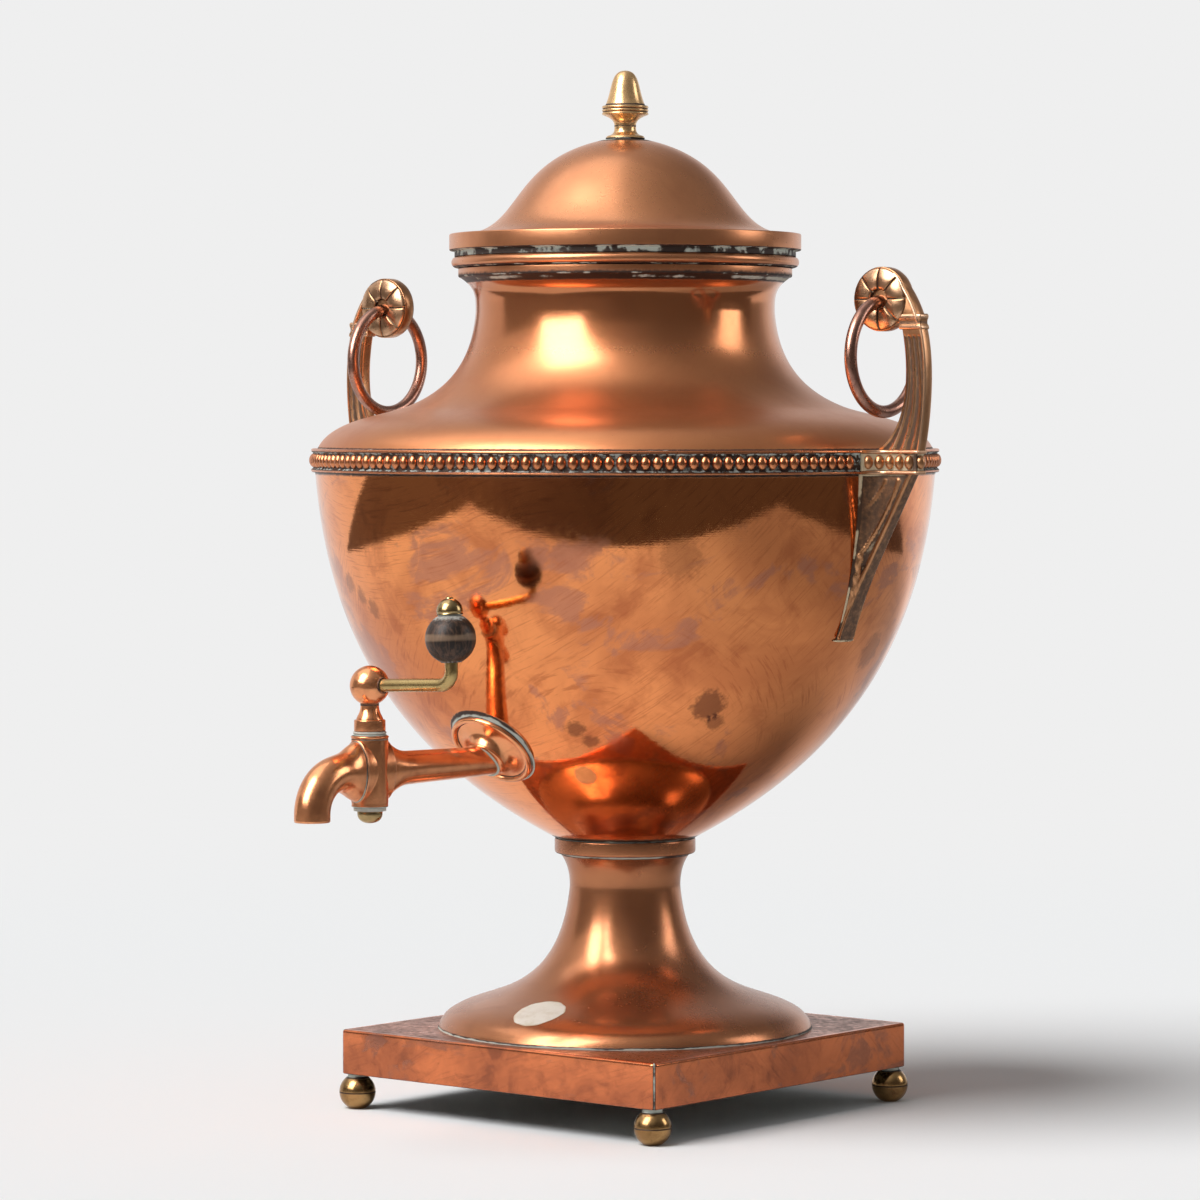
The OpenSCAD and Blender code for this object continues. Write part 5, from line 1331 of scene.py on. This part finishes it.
def makeSpout():
    rows, grime = [], []
    out, bend, drop = tap["spoutOut"], tap["bend"], tap["spoutDrop"]
    straight = out - bend
    arcLong = math.pi / 2 * bend
    whole = straight + arcLong + drop - bend

    def spot(t):
        if t <= straight:
            return np.array((0, tap["plugY"] - t, tap["bore"])), np.array((0, 0, 1.0))
        a = min((t - straight) / bend, math.pi / 2)
        centre = np.array((0, tap["plugY"] - straight, tap["bore"] - bend))
        up = np.array((0, -math.sin(a), math.cos(a)))
        return centre + up * bend - np.array((0, 0, max(0.0, t - straight - arcLong))), up

    radius, hole, sides = tap["spout"], tap["spoutBore"], tap["sides"]
    for t in [*np.linspace(1.0, 7.8, 8), *np.linspace(8.0, 9.2, 13), *np.linspace(9.6, 26, 40),
              *np.linspace(27, whole - 0.5, 40)]:
        wide, high = flareAt(t, radius, 22.0, 1.75)
        belly = bell(t, 11.5, 3.2)
        centre, up = spot(t)
        rows.append(ovalRow(centre, up, wide + 0.35 * belly, high + 0.55 * belly))
        mark = flareMark(t, 0.95) + 0.3 * max(0.0, (t - whole + 4) / 4)
        under = 0.25 * bell(t, 10.5, 2.0)
        grime.append([mark + under * (k > sides / 2) for k in range(sides)])
    centre, up = spot(whole)
    for shrink, back in ((0.12, 0.2), (0.35, 0.02), (0.8, 0.0), (1.3, 0.0), (1.65, 0.15), (1.8, 0.6)):
        rows.append(ovalRow(centre + np.array((0, 0, back)), up, radius - shrink, radius - shrink))
        grime.append([0.35 if shrink < 0.6 else 0.8] * sides)
    for t in np.linspace(whole - 1.2, straight + 2.0, 22):
        centre, up = spot(t)
        rows.append(ovalRow(centre, up, hole, hole))
        grime.append([0.75] * sides)
    body = lofted("spoutBody", rows, tapCopper, grime, 50.0)
    seam = flareSeam("spoutSeam", -tap["seamAway"])
    rideOn(joined("tapSpout", [body, seam]), "urn", "tap_copper", "tap_spout")


def makeBarrel():
    r, low, high = tap["barrel"], barrelLow, barrelTop
    outline = chain(
        [(0, low), (r - 1.2, low), (r - 0.9, low + 0.15)], arc((r - 0.55, low + 0.75), 0.5, -80, 0, 5),
        [(r - 0.1, low + 1.6), (r, low + 2.4), (r, high - 2.6), (r - 0.08, high - 2.1)],
        arc((r - 0.3, high - 1.2), 0.5, -60, 90, 7), [(r - 1.0, high - 0.1), (r - 1.4, high), (0, high)])
    outline[-1, 0] = 0.0
    marks = [(high - 0.2, 0.55, 1.35), (high - 2.2, 0.35, 0.8), (low + 0.1, 0.6, 1.3)]
    rideOn(spun("tapBarrel", outline, tapCopper, marks, 128, atPlug), "urn", "tap_copper", "tap_barrel")


def makePlate():
    r, neck, high, hole = tap["plate"], tap["plateNeck"], tap["plateHigh"], tap["plateHole"]
    place = (Matrix.Translation((0, tap["plateY"] * mm, tap["plateZ"] * mm))
             @ Matrix.Rotation(math.radians(tap["plateTilt"]), 4, "X"))
    outline = chain(
        [(hole, -7), (r - 0.4, -7), (r, -0.6)], arc((r - 1.1, 0.85), 1.15, -10, 165, 16),
        bezier((r - 2.6, 0.55), (neck + 3.6, 0.25), (neck + 0.6, high * 0.32), (neck, high - 1.1), 26),
        arc((neck - 0.7, high - 0.75), 0.72, -5, 90, 6), [(hole, high - 0.05)])
    marks = [(r, 0.55, 0.5, 0.2), (r + 0.05, -0.2, 0.7, 1.8), (r - 2.5, 0.6, 0.5, 0.7), (6.0, high, 0.5, 1.2)]
    plate = spun("plateBody", outline, tapCopper, marks, 128, place)
    for vertex in plate.data.vertices:
        x, y, z = vertex.co / mm
        away, wall = math.hypot(x, y), bowlRadiusAt(z) - 0.35
        if away < wall:
            vertex.co = Vector((x * wall / away, y * wall / away, z)) * mm
    seam, mouth, shank, bore = [], neck - 1.8, tap["shank"] + 0.25, tap["bore"]
    for a in turnsOf(96):
        x, y, z = place @ (Vector((mouth * math.cos(a), mouth * math.sin(a), high + 0.05)) * mm) / mm
        away = math.hypot(x, z - bore)
        seam.append((x * shank / away, y, bore + (z - bore) * shank / away))
    solder = wireAlong("plateSeam", [(seam, True, 0, 1.3)], 0.55, tapCopper, 10)
    rim, edge = [], r + 0.15
    for a in turnsOf(120):
        x, y, z = place @ (Vector((edge * math.cos(a), edge * math.sin(a), 0.0)) * mm) / mm
        away, wall = math.hypot(x, y), bowlRadiusAt(z) + 0.1
        rim.append((x * wall / away, y * wall / away, z))
    foot = wireAlong("plateRim", [(rim, True, 0, 1.8)], 0.46, tapCopper, 8)
    rideOn(joined("tapPlate", [plate, solder, foot]), "urn", "tap_copper", "tap_plate")


def makePlug():
    low, collar, neck, tip = barrelLow + 0.2, tap["collar"], tap["neck"], tap["plugTip"]
    ballZ, ball, z0 = barrelTop + tap["ballHigh"], tap["ball"], barrelTop + 1.08
    outline = chain(
        [(0, low), (tip, low), (tip, z0), (collar - 0.35, z0)],
        arc((collar - 0.35, z0 + 0.35), 0.35, -90, 0, 4), arc((collar - 0.55, z0 + 4.3), 0.55, 0, 90, 6),
        bezier((collar - 0.9, z0 + 4.9), (neck + 1.4, z0 + 6.6), (neck, ballZ - ball - 3.0),
               (neck, ballZ - ball + 0.2), 22),
        arc((0, ballZ), ball, -62.0, 90, 44))
    outline[-1, 0] = 0.0
    marks = [(z0 + 0.1, 0.4, 0.5), (ballZ - ball + 0.5, 0.7, 0.75)]
    plug = spun("plug", outline, tapCopper, marks, 144, atPlug, 44.0)
    entry = leverFrame @ (Vector((ball * 0.95, 0, 0)) * mm)
    layer = plug.data.attributes["grime"]
    for k, vertex in enumerate(plug.data.vertices):
        away = abs((vertex.co - entry).length / mm - 2.9)
        layer.data[k].value = max(layer.data[k].value, 1.1 * max(0.0, 1.25 - away / 0.5))
    circle = [(ball - 0.42, lever["seat"] * math.cos(a), lever["seat"] * math.sin(a)) for a in turnsOf(48)]
    seat = wireAlong("leverSeat", [(onLever(circle), True, 0, 0.5)], 0.42, tapCopper, 8)
    rideOn(joined("tapPlug", [plug, seat]), "tap_key", "tap_copper", "tap_plug")


# Rod, grip and cap; the rod runs out from the plug's ball and bends up into the grip
def makeLever():
    bend, long, top = lever["bend"], lever["long"], lever["gripHigh"] - lever["grip"] + 2.0
    path = [(x, 0, 0) for x in np.linspace(tap["ball"] - 3.0, long - bend - 1.5, 24)]
    path += [(long - bend + bend * math.sin(a), 0, bend - bend * math.cos(a))
             for a in np.linspace(0, math.pi / 2, 18)]
    path += [(long, 0, z) for z in np.linspace(bend + 1.0, top, 6)]
    rod = wireAlong("leverRod", [(onLever(path), False, 0, 0.0)], lever["rod"], leverBrass, 36)
    rideOn(rod, "tap_key", "lever_brass", "lever_rod")

    onRod = leverFrame @ Matrix.Translation((long * mm, 0, lever["gripHigh"] * mm))
    ball = lever["grip"]
    outline = chain([(0, 1.0 - ball), (3.6, 0.55 - ball), (4.2, 0.62 - ball)], arc((0, 0), ball, -65.5, 64.0, 60),
                    [(4.4, ball - 0.95), (0, ball - 0.95)])
    outline[-1, 0] = 0.0
    grip = spun("leverGrip", outline, gripWood, [(ball, 5.2, 0.95), (0.8 - ball, 1.0, 0.7)], 128, onRod, 50.0)
    layer, back = grip.data.attributes["grime"], onRod.inverted()
    for k, vertex in enumerate(grip.data.vertices):
        layer.data[k].value -= max(0.0, 1.2 - abs((back @ vertex.co).z / mm - 0.6) / 2.4)
    rideOn(grip, "tap_key", "grip_wood", "lever_grip")
    onGrip = onRod @ Matrix.Translation((0, 0, (ball - 1.0) * mm))
    r, h = lever["cap"], lever["capHigh"]
    outline = chain(
        [(0, 0), (r - 0.5, 0)], arc((r - 0.4, 0.45), 0.4, -90, 40, 5), [(r - 0.25, 1.0)],
        bezier((r, 1.5), (r, h * 0.62), (r * 0.62, h - 0.8), (1.9, h - 0.45), 20), [(1.6, h - 0.35)],
        bezier((1.5, h + 0.1), (1.2, h + 0.5), (0.6, h + 0.6), (0, h + 0.6), 6))
    outline[-1, 0] = 0.0
    cap = spun("leverCap", outline, screwBrass, [(0.0, 0.5, 1.3), (1.9, h - 0.4, 0.35, 0.9)], 96, onGrip, 50.0)
    rideOn(cap, "tap_key", "lever_brass", "lever_cap")


def makeWasher():
    hole, out, z = tap["washerHole"], tap["collar"], barrelTop
    outline = [(hole, z + 0.08), (out + 0.3, z + 0.08), (out + 0.45, z + 0.5), (out + 0.2, z + 1.05),
               (hole, z + 1.05)]
    washer = spun("glandWasher", outline, washerFibre, [], 96, atPlug)
    rideOn(washer, "tap_key", "washer_fibre", "gland_washer")


# Screw that holds the plug from below, with a slot across its head
def makeScrew():
    r, z = tap["screw"], barrelLow - 1.28
    outline = chain(
        [(0, z + 8), (2, z + 8), (2, z), (r - 0.2, z), (r, z - 0.3)],
        bezier((r, z - 1.2), (r, z - 3.6), (r * 0.6, z - 5.2), (0, z - 5.2), 22))
    outline[-1, 0] = 0.0
    screw = spun("plugScrew", outline, screwBrass, [(z, 0.6, 0.5)], 96, atPlug, 50.0)
    slotTurn, slotFloor = math.radians(25), z - 3.4
    for vertex in screw.data.vertices:
        x, y, height = vertex.co / mm
        across = abs(-x * math.sin(slotTurn) + (y - tap["plugY"]) * math.cos(slotTurn))
        if height < slotFloor and across < 1.0:
            depth = 1.5 * (1 - softStep(across, 0.45, 0.95))
            vertex.co.z = max(height, min(slotFloor, z - 5.2 + depth)) * mm
    rideOn(screw, "tap_key", "screw_brass", "plug_screw")


paper = {"turn": -85.0, "height": 46.7, "wide": 22.5, "high": 23.0, "thick": 0.14}


# Plain oval of paper stuck to the pedestal's foot
def makeSticker():
    along = np.concatenate([[0], np.cumsum(np.hypot(*np.diff(pedestalLine, axis=0).T))])
    start = np.interp(paper["height"], pedestalLine[:, 1], along)
    slope = np.gradient(pedestalLine, axis=0)
    slope /= np.linalg.norm(slope, axis=1)[:, None]

    def spot(across, up, lift):
        s = start + up
        r, z = np.interp(s, along, pedestalLine[:, 0]), np.interp(s, along, pedestalLine[:, 1])
        dr, dz = np.interp(s, along, slope[:, 0]), np.interp(s, along, slope[:, 1])
        a = math.radians(paper["turn"]) + across / r
        out = r + dz * lift
        return (out * math.cos(a), out * math.sin(a), z - dr * lift)

    rows, grime = [], []
    for share, lift in ((0.985, 0.0), (1.0, 0.6), (0.985, 1.0), (0.93, 1.0), (0.8, 1.0), (0.6, 1.0),
                        (0.35, 1.0), (0.12, 1.0)):
        ring = []
        for a in turnsOf(96):
            ragged = share * (1 + 0.012 * math.sin(5 * a + 1) + 0.008 * math.sin(11 * a))
            ring.append(spot(paper["wide"] / 2 * math.cos(a) * ragged, paper["high"] / 2 * math.sin(a) * ragged,
                             0.02 + lift * paper["thick"]))
        rows.append(ring)
        grime.append([max(0.0, (share - 0.8) * 4)] * len(ring))
    sticker = lofted("paperOval", rows, stickerPaper, grime, 60.0)
    rideOn(sticker, "urn", "foot_copper")


makeVessel()
makeBeadRow()
makeLid()
makeFinial()
makePedestal()
makePlinth()
makeFeet()
makeSticker()
print("urn and lid ready")
wireTree = makeWireTree()
beadTree = makeBeadTree()
makeHandle(1)
makeHandle(-1)
print("handles ready")
makeShank()
makeSpout()
makeBarrel()
makePlate()
makePlug()
makeLever()
makeWasher()
makeScrew()
print("tap ready")

# Pieces that keep the drawing's own shape
nodeLooks = {
    "foot_nuts": footBrass, "tie_bolt": dullIron, "tie_nut": dullIron, "finial_nut": finialBrass,
    "heater_tube": dullIron, "heater_cover": lidCopper, "heater_knob": finialBrass,
    "plug_washer": washerFibre,
}
for node, material in nodeLooks.items():
    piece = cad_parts[node]
    piece.data.materials.clear()
    piece.data.materials.append(material)
